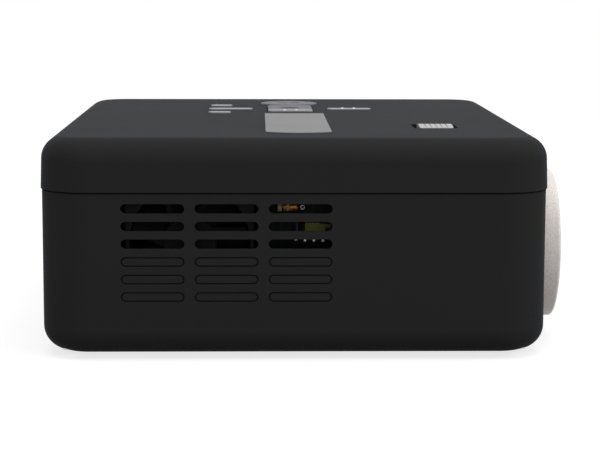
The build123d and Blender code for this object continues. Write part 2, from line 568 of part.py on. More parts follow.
def lower_shell():
    """The deep lower tray of the casing, with its posts, ribs and openings."""
    shell = lower_form(0, SEAM_Z - SEAM_GAP) - lower_form(WALL, SEAM_Z + TONGUE_HEIGHT)
    tongue_low = SEAM_Z - SEAM_GAP - WALL
    tongue_plan = casing_plan(TONGUE_SET) - casing_plan(WALL)
    tongue = extrude(Pos(0, 0, tongue_low) * tongue_plan, amount=SEAM_Z + TONGUE_HEIGHT - tongue_low)
    adds = [tongue]
    adds += [bar_z(SCREW_POST_R, x, y, (ROOT_Z, SCREW_POST_TOP_Z)) for x, y in SCREW_POSTS]
    for x in (OPTICS_REAR_X + 8.0, OPTICS_FRONT_X - 8.0):
        for y in (OPTICS_Y[0] + 8.0, OPTICS_Y[1] - 8.0):
            adds.append(bar_z(STAND_R, x, y, (ROOT_Z, OPTICS_LOW_Z)))
    for board_x, board_y in ((MAIN_BOARD_X, MAIN_BOARD_Y), (POWER_BOARD_X, POWER_BOARD_Y)):
        adds += [bar_z(STAND_R, x, y, (ROOT_Z, BOARD_Z)) for x, y in board_stands(board_x, board_y)]
    adds += [bar_z(LOADER_POST_R, x, y, (ROOT_Z, CHASSIS_Z)) for x, y in LOADER_POSTS]
    # ribs that carry the heat sink
    for y in (OPTICS_Y[0] + 10.0, OPTICS_Y[1] - 12.0):
        adds.append(block((SINK_X[0] + 4.0, SINK_X[1] - 4.0), (y, y + 2.0), (ROOT_Z, SINK_LOW_Z)))
    # cradle under the fan, with a stop behind it
    fan_low = FAN_Z - FAN_SIZE / 2
    for x in (FAN_X - FAN_SIZE / 2 + 6.0, FAN_X + FAN_SIZE / 2 - 8.0):
        adds.append(block((x, x + 2.0), (FAN_Y[0], FAN_Y[1] + 4.0), (ROOT_Z, fan_low)))
        adds.append(block((x, x + 2.0), (FAN_Y[1] + SLIP, FAN_Y[1] + 4.0), (fan_low - CUT, fan_low + 5.0)))
    # grooved pillars for the upright driver board
    groove = block((DRIVER_X[0] - SLIP, DRIVER_X[1] + SLIP), (DRIVER_Y[0] - SLIP, DRIVER_Y[1] + SLIP),
                   (DRIVER_Z[0], DRIVER_Z[1]))
    for x in (DRIVER_X[0] + 2.0, DRIVER_X[1] - 6.0):
        pillar = block((x, x + 4.0), (DRIVER_Y[0] - 2.0, DRIVER_Y[1] + 2.0), (ROOT_Z, DRIVER_Z[0] + 6.0))
        adds.append(pillar - groove)
    ring = bar_z(SPEAKER_R + SLIP + 1.6, SPEAKER_X, SPEAKER_Y, (ROOT_Z, FLOOR_Z + 5.0))
    adds.append((ring - bar_z(SPEAKER_R + SLIP, SPEAKER_X, SPEAKER_Y, (0, BODY_HEIGHT)))
                & lower_form(SLIP, SEAM_Z))
    adds.append(bar_z(TRIPOD_BOSS_R, TRIPOD_X, TRIPOD_Y, (ROOT_Z, BASE_Z + TRIPOD_DEPTH + 2.0)))
    shell = shell + adds
    cuts = vent_cuts() + exhaust_cuts() + floor_cuts() + socket_cuts()
    cuts.append(tray_opening())
    cuts.append(bar_x(SPIGOT_R + SLIP, (FRONT_X - WALL - CUT, FRONT_X + CUT), AXIS_Y, AXIS_Z))
    cuts.append(bar_z(TRIPOD_R, TRIPOD_X, TRIPOD_Y, (BASE_Z - CUT, BASE_Z + TRIPOD_DEPTH)))
    for x, y in SCREW_POSTS:
        cuts.append(bar_z(SCREW_R + SLIP, x, y, (BASE_Z - CUT, SCREW_POST_TOP_Z + CUT)))
        cuts.append(bar_z(SCREW_HEAD_R + SLIP, x, y, (BASE_Z - CUT, SCREW_HEAD_Z)))
    return shell - cuts


def key_outline(kind, length, width, grow):
    """A key's outline seen from above, widened all round by a margin."""
    if kind == "round":
        return Circle(length / 2 + grow)
    if kind == "pad":
        return RectangleRounded(length + 2 * grow, width + 2 * grow, PAD_CORNER)
    return SlotOverall(length + 2 * grow, width + 2 * grow)


def upper_shell():
    """The lid of the casing, with the openings for the keys and the focus knob's well."""
    shell = upper_form(0) - upper_form(WALL)
    rebate = extrude(Pos(0, 0, SEAM_Z) * casing_plan(TONGUE_SET - SLIP), amount=TONGUE_HEIGHT + FREE)
    shell = shell - rebate
    adds = []
    for x, y in SCREW_POSTS:
        adds.append(bar_z(SCREW_POST_R, x, y, (SCREW_POST_TOP_Z, CEILING_Z - 2.0)))
    adds += [bar_z(STAND_R, x, y, (KEY_BOARD_TOP_Z, CEILING_Z + ROOT)) for x, y in KEY_BOARD_STANDS]
    shell = shell + [add & upper_form_column() for add in adds]
    through = (CEILING_Z - CUT, TOP_Z + CUT)
    cuts = []
    for kind, x, y, length, width in KEYS.values():
        if kind != "pad":
            hole = Pos(x, y, through[0]) * key_outline(kind, length, width, KEY_GAP)
            cuts.append(extrude(hole, amount=through[1] - through[0]))
    pad_x = (KEYPAD_X - PAD_KEY_WIDTH / 2 - KEY_GAP, KEYPAD_X + PAD_KEY_WIDTH / 2 + KEY_GAP)
    cuts.append(plate(pad_x, (KEYPAD_Y - PAD_HALF, KEYPAD_Y + PAD_HALF), through, PAD_CORNER))
    well_x = (FOCUS_X - FOCUS_WELL_LENGTH / 2, FOCUS_X + FOCUS_WELL_LENGTH / 2)
    well_y = (AXIS_Y - FOCUS_WELL_WIDTH / 2, AXIS_Y + FOCUS_WELL_WIDTH / 2)
    cuts.append(plate(well_x, well_y, (WELL_FLOOR_Z, TOP_Z + CUT), FOCUS_WELL_CORNER))
    cuts.append(block(LEVER_PATH_X, (AXIS_Y - LEVER_PATH_HALF, AXIS_Y + LEVER_PATH_HALF), through))
    cuts.append(nameplate_blank(SLIP, TOP_Z + CUT))
    cuts.append(bar_x(SPIGOT_R + SLIP, (FRONT_X - WALL - CUT, SEAT_X + CUT), AXIS_Y, AXIS_Z))
    for x, y in SCREW_POSTS:
        cuts.append(bar_z(SCREW_R, x, y, (SCREW_POST_TOP_Z - CUT, SCREW_POST_TOP_Z + SCREW_GRIP + CUT)))
    return shell - cuts


def upper_form_column():
    """Space that the upper shell's posts may fill, down to where the lower posts end."""
    column = extrude(Pos(0, 0, SCREW_POST_TOP_Z) * casing_plan(WALL + SLIP),
                     amount=SEAM_Z + 2 * TONGUE_HEIGHT - SCREW_POST_TOP_Z)
    return column + upper_form(WALL / 2)


def rubber_feet():
    """Four soft feet under the casing."""
    feet = []
    for x, y in mirrored_pairs(FRONT_X - FOOT_INSET, FAR_Y - FOOT_INSET):
        foot = bar_z(FOOT_R, x, y, (0, FOOT_HEIGHT))
        feet.append(fillet(foot.faces().sort_by(Axis.Z)[0].edges(), 1.0))
    return group(feet)


def case_screws():
    """Screws that go up through the lower shell into the upper one."""
    screws = []
    for x, y in SCREW_POSTS:
        low = SCREW_HEAD_Z - SCREW_HEAD_THICK
        shank = bar_z(SCREW_R - SLIP, x, y, (low + ROOT, SCREW_POST_TOP_Z + SCREW_GRIP))
        head = bar_z(SCREW_HEAD_R, x, y, (low, SCREW_HEAD_Z))
        drive = [Pos(x, y, low) * Rot(0, 0, turn) * Box(3.2, 0.8, 1.6) for turn in (0, 90)]
        screws.append(shank + head - drive)
    return group(screws)


def nameplate_blank(grow, z_top):
    """The badge plate's outline on the lid, with its inlet-side edge bowed outwards."""
    x_low = PLATE_X - PLATE_LENGTH / 2 - grow
    x_high = PLATE_X + PLATE_LENGTH / 2 + grow
    near = PLATE_Y[0] - grow
    far = PLATE_Y[1] + grow
    outline = Wire([
        ThreePointArc((x_low, near), (PLATE_X, near - PLATE_BOW), (x_high, near)),
        Line((x_high, near), (x_high, far)),
        Line((x_high, far), (x_low, far)),
        Line((x_low, far), (x_low, near)),
    ])
    z_low = TOP_Z + PLATE_PROUD - PLATE_THICK
    return extrude(Pos(0, 0, z_low) * make_face(outline), amount=z_top - z_low)


def nameplate():
    """A bare badge plate let into the lid."""
    badge = nameplate_blank(0, TOP_Z + PLATE_PROUD)
    return fillet(badge.faces().sort_by(Axis.Z)[-1].edges(), 0.2)


def tripod_insert():
    """A threaded brass bush in the underside."""
    bush = bar_z(TRIPOD_R, TRIPOD_X, TRIPOD_Y, (BASE_Z, BASE_Z + TRIPOD_DEPTH))
    bore_z = (BASE_Z - CUT, BASE_Z + TRIPOD_DEPTH - TRIPOD_END)
    return bush - bar_z(TRIPOD_BORE_R, TRIPOD_X, TRIPOD_Y, bore_z)


# ------------------------------------------------------------------ light engine

def lens_ring():
    """The bright ring round the lens, with a spigot that enters the front wall."""
    face_x = SEAT_X + RING_PROUD - OVERHANG
    ring = bar_x(RING_R, (SEAT_X, face_x), AXIS_Y, AXIS_Z)
    ring = fillet(ring.faces().sort_by(Axis.X)[-1].edges(), RING_EDGE)
    ring = ring + bar_x(SPIGOT_R, (FRONT_X - WALL, SEAT_X + 1.0), AXIS_Y, AXIS_Z)
    bore = bar_x(RING_BORE_R, (FRONT_X - WALL - 1.0, face_x + 1.0), AXIS_Y, AXIS_Z)
    flare = Pos(face_x - 1.0, AXIS_Y, AXIS_Z) * Rot(0, 90, 0) * Cone(RING_BORE_R, RING_BORE_R + 1.6, 2.0)
    return ring - bore - flare


def lens_sleeve():
    """The fixed tube that the lens barrel slides in, slotted for the focus lever."""
    tube = bar_x(SLEEVE_R, SLEEVE_X, AXIS_Y, AXIS_Z)
    half = OPTICS_WIDTH / 2
    flange = plate((-half, half), (-half, half), (0, SLEEVE_FLANGE), 4.0)
    tube = tube + Pos(SLEEVE_X[0], AXIS_Y, AXIS_Z) * Rot(0, 90, 0) * flange
    tube = tube - bar_x(SLEEVE_BORE_R, (SLEEVE_X[0] - 1.0, SLEEVE_X[1] + 1.0), AXIS_Y, AXIS_Z)
    slot_y = (AXIS_Y - LEVER_PATH_HALF, AXIS_Y + LEVER_PATH_HALF)
    return tube - block(LEVER_PATH_X, slot_y, (AXIS_Z, AXIS_Z + SLEEVE_R + CUT))


def lens_barrel():
    """The sliding barrel that holds the projection lenses."""
    tube = bar_x(BARREL_R, BARREL_X, AXIS_Y, AXIS_Z)
    tube = tube - bar_x(BARREL_BORE_R, (BARREL_X[0] + 4.0, BARREL_X[1] + CUT), AXIS_Y, AXIS_Z)
    tube = tube - bar_x(BARREL_BORE_R - 4.0, (BARREL_X[0] - CUT, BARREL_X[1]), AXIS_Y, AXIS_Z)
    stop = bar_x(BARREL_R - ROOT, (BARREL_X[0] + 20.0, BARREL_X[0] + 24.0), AXIS_Y, AXIS_Z)
    stop = stop - bar_x(BARREL_BORE_R - 6.0, BARREL_X, AXIS_Y, AXIS_Z)
    tube = tube + stop
    half = FOCUS_BLADE_THICK / 2
    return tube - block(LEVER_X, (AXIS_Y - half, AXIS_Y + half), (LEVER_FOOT_Z, AXIS_Z + BARREL_R + CUT))


def round_lens(x, radius, bulge):
    """A lens on the optical axis, bulging on both faces."""
    curve_r = (radius ** 2 + bulge ** 2) / (2 * bulge)
    half = math.asin(radius / curve_r) / 2
    dip = curve_r * (1 - math.cos(half))
    lift = curve_r * math.sin(half)
    profile = Wire([
        ThreePointArc((x[0] - bulge, 0), (x[0] - bulge + dip, lift), (x[0], radius)),
        Line((x[0], radius), (x[1], radius)),
        ThreePointArc((x[1], radius), (x[1] + bulge - dip, lift), (x[1] + bulge, 0)),
        Line((x[1] + bulge, 0), (x[0] - bulge, 0)),
    ])
    return Pos(0, AXIS_Y, AXIS_Z) * revolve(make_face(profile), Axis.X)


def projection_lenses():
    """Front and rear elements, seated on the barrel's inner steps."""
    bore_r = BARREL_BORE_R - SLIP
    front = round_lens((BARREL_X[1] - 9.0, BARREL_X[1] - 5.0), bore_r, 3.0)
    rear = round_lens((BARREL_X[0] + 6.5, BARREL_X[0] + 9.5), bore_r, 2.4)
    return group([front, rear])


def focus_lever():
    """The focus slide in the lid, arched like the lens, on a blade that reaches the barrel."""
    knob_y = (AXIS_Y - FOCUS_KNOB_WIDTH / 2, AXIS_Y + FOCUS_KNOB_WIDTH / 2)
    knob = plate(KNOB_X, knob_y, KNOB_Z, FOCUS_WELL_CORNER - FREE)
    knob = knob & bar_x(KNOB_Z[1] - AXIS_Z, KNOB_X, AXIS_Y, AXIS_Z)
    groove_r = KNOB_Z[1] - FOCUS_GROOVE_DEEP - AXIS_Z
    grooves = []
    for step in range(FOCUS_KNOB_GROOVES):
        middle = KNOB_MIDDLE_X + (step - (FOCUS_KNOB_GROOVES - 1) / 2) * FOCUS_GROOVE_PITCH
        x = (middle - FOCUS_GROOVE_WIDTH / 2, middle + FOCUS_GROOVE_WIDTH / 2)
        ring = bar_x(groove_r + 2 * CUT, x, AXIS_Y, AXIS_Z) - bar_x(groove_r, x, AXIS_Y, AXIS_Z)
        grooves.append(ring)
    half = FOCUS_BLADE_THICK / 2 - SLIP
    blade = block(LEVER_X, (AXIS_Y - half, AXIS_Y + half), (LEVER_FOOT_Z, KNOB_Z[0] + ROOT))
    return knob - grooves + blade


def optics_housing():
    """The long box between lamp and lens, with grooves for the flat optics."""
    x = (OPTICS_REAR_X, OPTICS_FRONT_X)
    box = block(x, OPTICS_Y, (OPTICS_LOW_Z, OPTICS_HIGH_Z))
    chamber = block((x[0] - CUT, x[1] - OPTICS_WALL), CHAMBER_Y, CHAMBER_Z)
    box = box - chamber
    box = box - bar_x(BARREL_R - 6.0, (x[1] - OPTICS_WALL - CUT, x[1] + CUT), AXIS_Y, AXIS_Z)
    ribs = []
    sides = ((CHAMBER_Y[0] - ROOT, CHAMBER_Y[0] + RIB_THICK),
             (CHAMBER_Y[1] - RIB_THICK, CHAMBER_Y[1] + ROOT))
    for plate_x, thick in FLAT_OPTICS.values():
        for rib_x in (plate_x - SLIP - RIB_THICK, plate_x + thick + SLIP):
            for y in sides:
                ribs.append(block((rib_x, rib_x + RIB_THICK), y, (CHAMBER_Z[0] - ROOT, CHAMBER_Z[1])))
    return box + ribs


def optics_cover():
    """The lid of the optics housing."""
    cover = block((OPTICS_REAR_X, OPTICS_FRONT_X), OPTICS_Y, (OPTICS_HIGH_Z, OPTICS_HIGH_Z + COVER_THICK))
    top_z = OPTICS_HIGH_Z + COVER_THICK
    rails = [block((OPTICS_REAR_X + 8.0, OPTICS_FRONT_X - 8.0), (y - RIB_THICK / 2, y + RIB_THICK / 2),
                   (top_z - ROOT, top_z + 2.0))
             for y in (AXIS_Y - OPTICS_WIDTH / 3, AXIS_Y, AXIS_Y + OPTICS_WIDTH / 3)]
    return cover + rails


def flat_optic(name):
    """One of the thin plates that stand in the housing's grooves."""
    x, thick = FLAT_OPTICS[name]
    y = (CHAMBER_Y[0] + SLIP, CHAMBER_Y[1] - SLIP)
    return block((x, x + thick), y, (CHAMBER_Z[0], CHAMBER_Z[1] - SLIP))


def fresnel_lenses():
    """The two ribbed condenser plates on either side of the picture panel."""
    return group([flat_optic("collimator"), flat_optic("collector")])


def lcd_panel():
    """The picture panel in its frame."""
    panel = flat_optic("panel")
    x, thick = FLAT_OPTICS["panel"]
    step = block((x - 1.0, x + 1.0), (AXIS_Y - 21.0, AXIS_Y + 21.0), (AXIS_Z - 16.0, AXIS_Z + 16.0))
    return panel - step


def condenser_lens():
    """The thick lens in front of the lamp, standing on its own foot."""
    x = (OPTICS_REAR_X + CONDENSER_FROM_LED, OPTICS_REAR_X + CONDENSER_FROM_LED + CONDENSER_THICK)
    lens = round_lens(x, CONDENSER_R, CONDENSER_THICK)
    foot = block((x[0] + ROOT, x[1] - ROOT), (AXIS_Y - 8.0, AXIS_Y + 8.0),
                 (CHAMBER_Z[0], AXIS_Z - CONDENSER_R + 3.0))
    return lens + foot


def led_module():
    """The lamp: a plate that closes the housing's rear end, with the emitter on it."""
    board = block((LED_X, OPTICS_REAR_X), OPTICS_Y, (OPTICS_LOW_Z, OPTICS_HIGH_Z))
    emitter = block((OPTICS_REAR_X - ROOT, OPTICS_REAR_X + 1.2), (AXIS_Y - 10.0, AXIS_Y + 10.0),
                    (AXIS_Z - 10.0, AXIS_Z + 10.0))
    dome = Pos(OPTICS_REAR_X + 1.2, AXIS_Y, AXIS_Z) * Sphere(LED_DOME_R)
    dome = dome & block((OPTICS_REAR_X, OPTICS_REAR_X + 2 * LED_DOME_R), OPTICS_Y, CHAMBER_Z)
    return board + emitter + dome


def heat_sink():
    """A finned block behind the lamp; air crosses it between the level fins."""
    base = block((SINK_X[1] - SINK_BASE, SINK_X[1]), OPTICS_Y, (SINK_LOW_Z, SINK_HIGH_Z))
    pitch = (SINK_HIGH_Z - SINK_LOW_Z - SINK_FIN_THICK) / (SINK_FINS - 1)
    fins = [block((SINK_X[0], SINK_X[1] - SINK_BASE + ROOT), OPTICS_Y,
                  (SINK_LOW_Z + row * pitch, SINK_LOW_Z + row * pitch + SINK_FIN_THICK))
            for row in range(SINK_FINS)]
    return base + fins


# ------------------------------------------------------------------ fan
def fan_frame():
    """The square frame of the axial fan, with its motor mount on the inner side."""
    half = FAN_SIZE / 2
    square = plate((-half, half), (-half, half), (0, FAN_THICK), 3.0)
    frame = Pos(FAN_X, FAN_Y[0], FAN_Z) * Rot(-90, 0, 0) * square
    frame = frame - bar_y(FAN_BORE_R, FAN_X, (FAN_Y[0] - CUT, FAN_Y[1] + CUT), FAN_Z)
    mount = bar_y(FAN_HUB_R, FAN_X, (FAN_Y[1] - 2.0, FAN_Y[1]), FAN_Z)
    strut = Pos(half - 8.0, 0, 0) * Box(17.0, 2.0, 2.4)
    struts = [Pos(FAN_X, FAN_Y[1] - 1.0, FAN_Z) * Rot(0, turn, 0) * strut for turn in (20, 140, 260)]
    frame = frame + mount + struts
    for side_x, side_z in mirrored_pairs(half - FAN_CORNER, half - FAN_CORNER):
        frame = frame - bar_y(2.1, FAN_X + side_x, (FAN_Y[0] - CUT, FAN_Y[1] + CUT), FAN_Z + side_z)
    return frame - bar_y(SPINDLE_R + RUNNING, FAN_X, (FAN_Y[1] - 3.0, FAN_Y[1] + CUT), FAN_Z)


def fan_rotor():
    """The fan's hub with its pitched blades and shaft."""
    y = (FAN_Y[0] + 1.0, FAN_Y[1] - 3.0)
    hub = bar_y(FAN_HUB_R, FAN_X, y, FAN_Z)
    hub = fillet(hub.faces().sort_by(Axis.Y)[0].edges(), 1.0)
    swept = bar_y(FAN_BORE_R - 0.8, FAN_X, (y[0] + 1.0, y[1] - 0.5), FAN_Z)
    swept = swept - bar_y(FAN_HUB_R - 0.6, FAN_X, (y[0] - 1.0, y[1] + 1.0), FAN_Z)
    rotor = hub
    for blade in range(FAN_BLADES):
        turn = 360.0 / FAN_BLADES * blade
        slab = Pos(FAN_X, (y[0] + y[1]) / 2, FAN_Z) * Rot(0, turn, 0) * Pos(17.0, 0, 0) * Rot(42, 0, 0)
        rotor = rotor + ((slab * Box(16.0, 1.3, 18.0)) & swept)
    return rotor + bar_y(SPINDLE_R, FAN_X, (y[1] - 1.0, FAN_Y[1] - 0.5), FAN_Z)


# ------------------------------------------------------------------ boards and sockets
def flat_board(board_x, board_y):
    """A printed board lying on its stand-offs."""
    return block(board_x, board_y, (BOARD_Z, BOARD_TOP_Z))


def main_board():
    """The video and control board under the disc loader."""
    return flat_board(MAIN_BOARD_X, MAIN_BOARD_Y)


def main_board_parts():
    """The larger components on the main board."""
    z = BOARD_TOP_Z
    x, front = MAIN_BOARD_X
    near, far = MAIN_BOARD_Y
    middle = (near + far) / 2
    chips = [
        block((x + 60.0, x + 84.0), (middle - 12.0, middle + 12.0), (z, z + 1.8)),
        block((x + 62.0, x + 82.0), (middle - 10.0, middle + 10.0), (z + 1.8, z + 7.0)),
        block((x + 36.0, x + 46.0), (near + 8.0, near + 26.0), (z, z + 1.2)),
        block((front - 30.0, front - 20.0), (far - 24.0, far - 6.0), (z, z + 1.2)),
        block((front - 32.0, front - 18.0), (near + 6.0, near + 12.0), (z, z + 6.0)),
    ]
    chips += [bar_z(3.0, x + 30.0 + 10.0 * place, far - 8.0, (z, z + 8.0)) for place in range(3)]
    return group(chips)


def power_board():
    """The mains supply's board."""
    return flat_board(POWER_BOARD_X, POWER_BOARD_Y)


def power_board_parts():
    """Transformer, capacitor and coil of the supply."""
    z = BOARD_TOP_Z
    x, front = POWER_BOARD_X
    y = POWER_BOARD_Y[0]
    coil = bar_z(8.0, x + 40.0, y + 30.0, (z, z + 9.0))
    coil = coil - bar_z(3.5, x + 40.0, y + 30.0, (z - CUT, z + 9.0 + CUT))
    return group([
        block((front - 56.0, front - 34.0), (y + 8.0, y + 32.0), (z, z + 9.5)),
        block((front - 79.0, front - 62.0), (y + 10.0, y + 20.0), (z, z + 9.0)),
        block((front - 28.0, front - 12.0), (y + 10.0, y + 16.0), (z, z + 9.0)),
        coil,
    ])


def driver_board():
    """The lamp driver's board, standing behind the air inlet."""
    return block(DRIVER_X, DRIVER_Y, DRIVER_Z)


def driver_board_parts():
    """Capacitors, transformer and connector on the inlet side of the driver board."""
    y = DRIVER_Y[0]
    x, z = DRIVER_X[0], DRIVER_Z[0]
    cans = []
    for at_x, at_z, radius, length in ((x + 9.0, z + 42.0, 4.0, 11.0), (x + 18.0, z + 29.0, 4.0, 11.0),
                                       (x + 44.0, z + 12.0, 6.3, 14.0)):
        can = bar_y(radius, at_x, (y - length, y), at_z)
        cans.append(fillet(can.faces().sort_by(Axis.Y)[0].edges(), 0.6))
    core = block((x + 17.0, x + 33.0), (y - 11.0, y), (z + 35.0, z + 46.0))
    winding = block((x + 19.0, x + 31.0), (y - 12.5, y - 10.5), (z + 36.5, z + 44.5))
    header = block((x + 24.0, x + 42.0), (y - 3.0, y), (z + 25.0, z + 31.0))
    pins = [block((x + at, x + at + 1.0), (y - 9.0, y - 2.5), (z + 27.5, z + 28.5))
            for at in (25.5, 28.5, 31.5, 34.5, 37.5, 40.5)]
    block_foot = block((x + 4.0, x + 14.0), (y - 6.0, y), (z + 8.0, z + 20.0))
    return group(cans + [core + winding, header + pins, block_foot])


def rear_socket(at_y, size, tongue):
    """A metal-shelled socket that reaches the rear face, with a contact tongue inside."""
    x = (REAR_X, REAR_X + 13.0)
    y = (at_y - size[0] / 2, at_y + size[0] / 2)
    z = (SOCKET_Z, SOCKET_Z + size[1])
    mouth = block((x[0] - CUT, x[1] - 2.0), (y[0] + SOCKET_SKIN, y[1] - SOCKET_SKIN),
                  (z[0] + SOCKET_SKIN, z[1] - SOCKET_SKIN))
    middle = (z[0] + z[1]) / 2
    blade = block((x[0] + 2.0, x[1] - 1.0), (y[0] + 3.0, y[1] - 3.0),
                  (middle - tongue / 2, middle + tongue / 2))
    return block(x, y, z) - mouth + blade


def hdmi_socket():
    """The digital picture input."""
    return rear_socket(HDMI_Y, HDMI_SIZE, 1.0)


def usb_socket():
    """The memory stick input."""
    return rear_socket(USB_Y, USB_SIZE, 1.8)


def av_jack():
    """The round picture and sound input."""
    z = SOCKET_Z + JACK_R
    sides = (JACK_Y - JACK_WIDTH / 2, JACK_Y + JACK_WIDTH / 2)
    body = block((REAR_X + WALL + 0.5, REAR_X + 16.0), sides, (SOCKET_Z, SOCKET_Z + 7.0))
    collar = bar_x(JACK_R, (REAR_X, REAR_X + WALL + 1.0), JACK_Y, z)
    return body + collar - bar_x(JACK_BORE_R, (REAR_X - 1.0, REAR_X + 14.5), JACK_Y, z)


def ac_inlet():
    """The two-pin mains inlet."""
    x = (REAR_X, REAR_X + 16.0)
    y = (AC_Y - INLET_SIZE[0] / 2, AC_Y + INLET_SIZE[0] / 2)
    z = (SOCKET_Z, SOCKET_Z + INLET_SIZE[1])
    recess = slot_through_x((x[0] - 1.0, x[1] - 3.0), AC_Y, AC_Z, 15.4, 8.4)
    pins = [bar_x(1.2, (x[0] + 5.0, x[1] - 2.0), AC_Y + side * 4.3, AC_Z) for side in (-1, 1)]
    return block(x, y, z) - recess + pins


def speaker():
    """A small loudspeaker that faces the grille in the floor."""
    rim = bar_z(SPEAKER_R, SPEAKER_X, SPEAKER_Y, (FLOOR_Z, FLOOR_Z + 2.5))
    basket = Pos(SPEAKER_X, SPEAKER_Y, FLOOR_Z + 6.0) * Cone(SPEAKER_R - 1.0, SPEAKER_R - 7.0, 8.0)
    magnet = bar_z(SPEAKER_R - 7.0, SPEAKER_X, SPEAKER_Y, (FLOOR_Z + 9.5, FLOOR_Z + SPEAKER_DEPTH))
    cone = Pos(SPEAKER_X, SPEAKER_Y, FLOOR_Z + 3.0) * Cone(SPEAKER_R - 3.0, 5.0, 6.2)
    return rim + basket + magnet - cone


# ------------------------------------------------------------------ gears
def involute(angle):
    """The involute function of a pressure angle."""
    return math.tan(angle) - angle


def gear_outline(teeth):
    """An involute gear seen along its axis, with a tooth on the local X axis."""
    pitch_r = MODULE * teeth / 2
    base_r = pitch_r * math.cos(math.radians(PRESSURE_ANGLE))
    root_r = pitch_r - DEDENDUM
    half_tooth = math.pi / (2 * teeth) - BACKLASH / (2 * pitch_r)
    pitch_inv = involute(math.radians(PRESSURE_ANGLE))

    def flank_angle(radius):
        pressure = math.acos(min(1.0, base_r / radius))
        return half_tooth + pitch_inv - involute(pressure)

    radii = [root_r, max(base_r, root_r + 0.1), pitch_r, pitch_r + MODULE]
    points = []
    for tooth in range(teeth):
        middle = 2 * math.pi * tooth / teeth
        rising = [(radius, middle - flank_angle(radius)) for radius in radii]
        falling = [(radius, middle + flank_angle(radius)) for radius in reversed(radii)]
        points += [(radius * math.cos(turn), radius * math.sin(turn)) for radius, turn in rising + falling]
    return make_face(Polyline(*points, close=True))


def gear(teeth, at_x, at_y, z, turn):
    """A spur gear on an upright axis, turned so that a tooth points along an angle."""
    return extrude(Pos(at_x, at_y, z[0]) * Rot(0, 0, turn) * gear_outline(teeth), amount=z[1] - z[0])


def drive_gear():
    """The two-step gear that drives the tray's rack."""
    pinion = gear(PINION_TEETH, GEAR_X, GEAR_Y, PINION_Z, -90.0)
    wheel = gear(WHEEL_TEETH, GEAR_X, GEAR_Y, WHEEL_Z, 90.0)
    shaft = bar_z(3.0, GEAR_X, GEAR_Y, (CHASSIS_TOP_Z + SLIP, PINION_Z[0] + 0.5))
    bore = bar_z(SPINDLE_R + RUNNING, GEAR_X, GEAR_Y, (CHASSIS_Z, PINION_Z[1] + 1.0))
    return pinion + wheel + shaft - bore


def grooved_pulley(radius, at_x, at_y):
    """A belt pulley with a square groove."""
    wheel = bar_z(radius + PULLEY_FLANGE, at_x, at_y, PULLEY_Z)
    groove_z = (BELT_Z - BELT_THICK / 2 - RUNNING, BELT_Z + BELT_THICK / 2 + RUNNING)
    groove = bar_z(radius + PULLEY_FLANGE + CUT, at_x, at_y, groove_z)
    return wheel - (groove - bar_z(radius - BELT_THICK - RUNNING, at_x, at_y, groove_z))


def pulley_gear():
    """The large pulley with the small gear that drives the wheel below the pinion."""
    idler = gear(IDLER_TEETH, GEAR_X, IDLER_Y, WHEEL_Z, 270.0 + 180.0 / IDLER_TEETH)
    neck = bar_z(4.0, GEAR_X, IDLER_Y, (CHASSIS_TOP_Z + SLIP, PULLEY_Z[0] + 0.5))
    bore = bar_z(SPINDLE_R + RUNNING, GEAR_X, IDLER_Y, (CHASSIS_Z, PULLEY_Z[1] + 1.0))
    return idler + neck + grooved_pulley(PULLEY_R, GEAR_X, IDLER_Y) - bore


def motor_pulley():
    """The small pulley pressed on the loading motor's shaft."""
    neck = bar_z(2.2, GEAR_X, MOTOR_Y, (CHASSIS_TOP_Z + 1.0, PULLEY_Z[0] + 0.5))
    shaft = bar_z(SPINDLE_R, GEAR_X, MOTOR_Y, (CHASSIS_Z - 1.0, PULLEY_Z[1]))
    return grooved_pulley(MOTOR_PULLEY_R, GEAR_X, MOTOR_Y) + neck + shaft


def drive_belt():
    """A square rubber belt round the two pulleys."""
    outer = belt_loop(PULLEY_R, MOTOR_PULLEY_R)
    inner = belt_loop(PULLEY_R - BELT_THICK, MOTOR_PULLEY_R - BELT_THICK)
    return extrude(Pos(GEAR_X, IDLER_Y, BELT_Z - BELT_THICK / 2) * (outer - inner), amount=BELT_THICK)


def belt_loop(large_r, small_r):
    """The outline of a taut loop round two circles, the large one at the origin."""
    lean = math.asin((large_r - small_r) / BELT_RUN)
    side = [(math.cos(lean), math.sin(lean)), (-math.cos(lean), math.sin(lean))]
    large = [(large_r * x, large_r * y) for x, y in side]
    small = [(small_r * x, BELT_RUN + small_r * y) for x, y in side]
    return make_face(Wire([
        ThreePointArc(large[0], (0, -large_r), large[1]),
        Line(large[1], small[1]),
        ThreePointArc(small[1], (0, BELT_RUN + small_r), small[0]),
        Line(small[0], large[0]),
    ]))


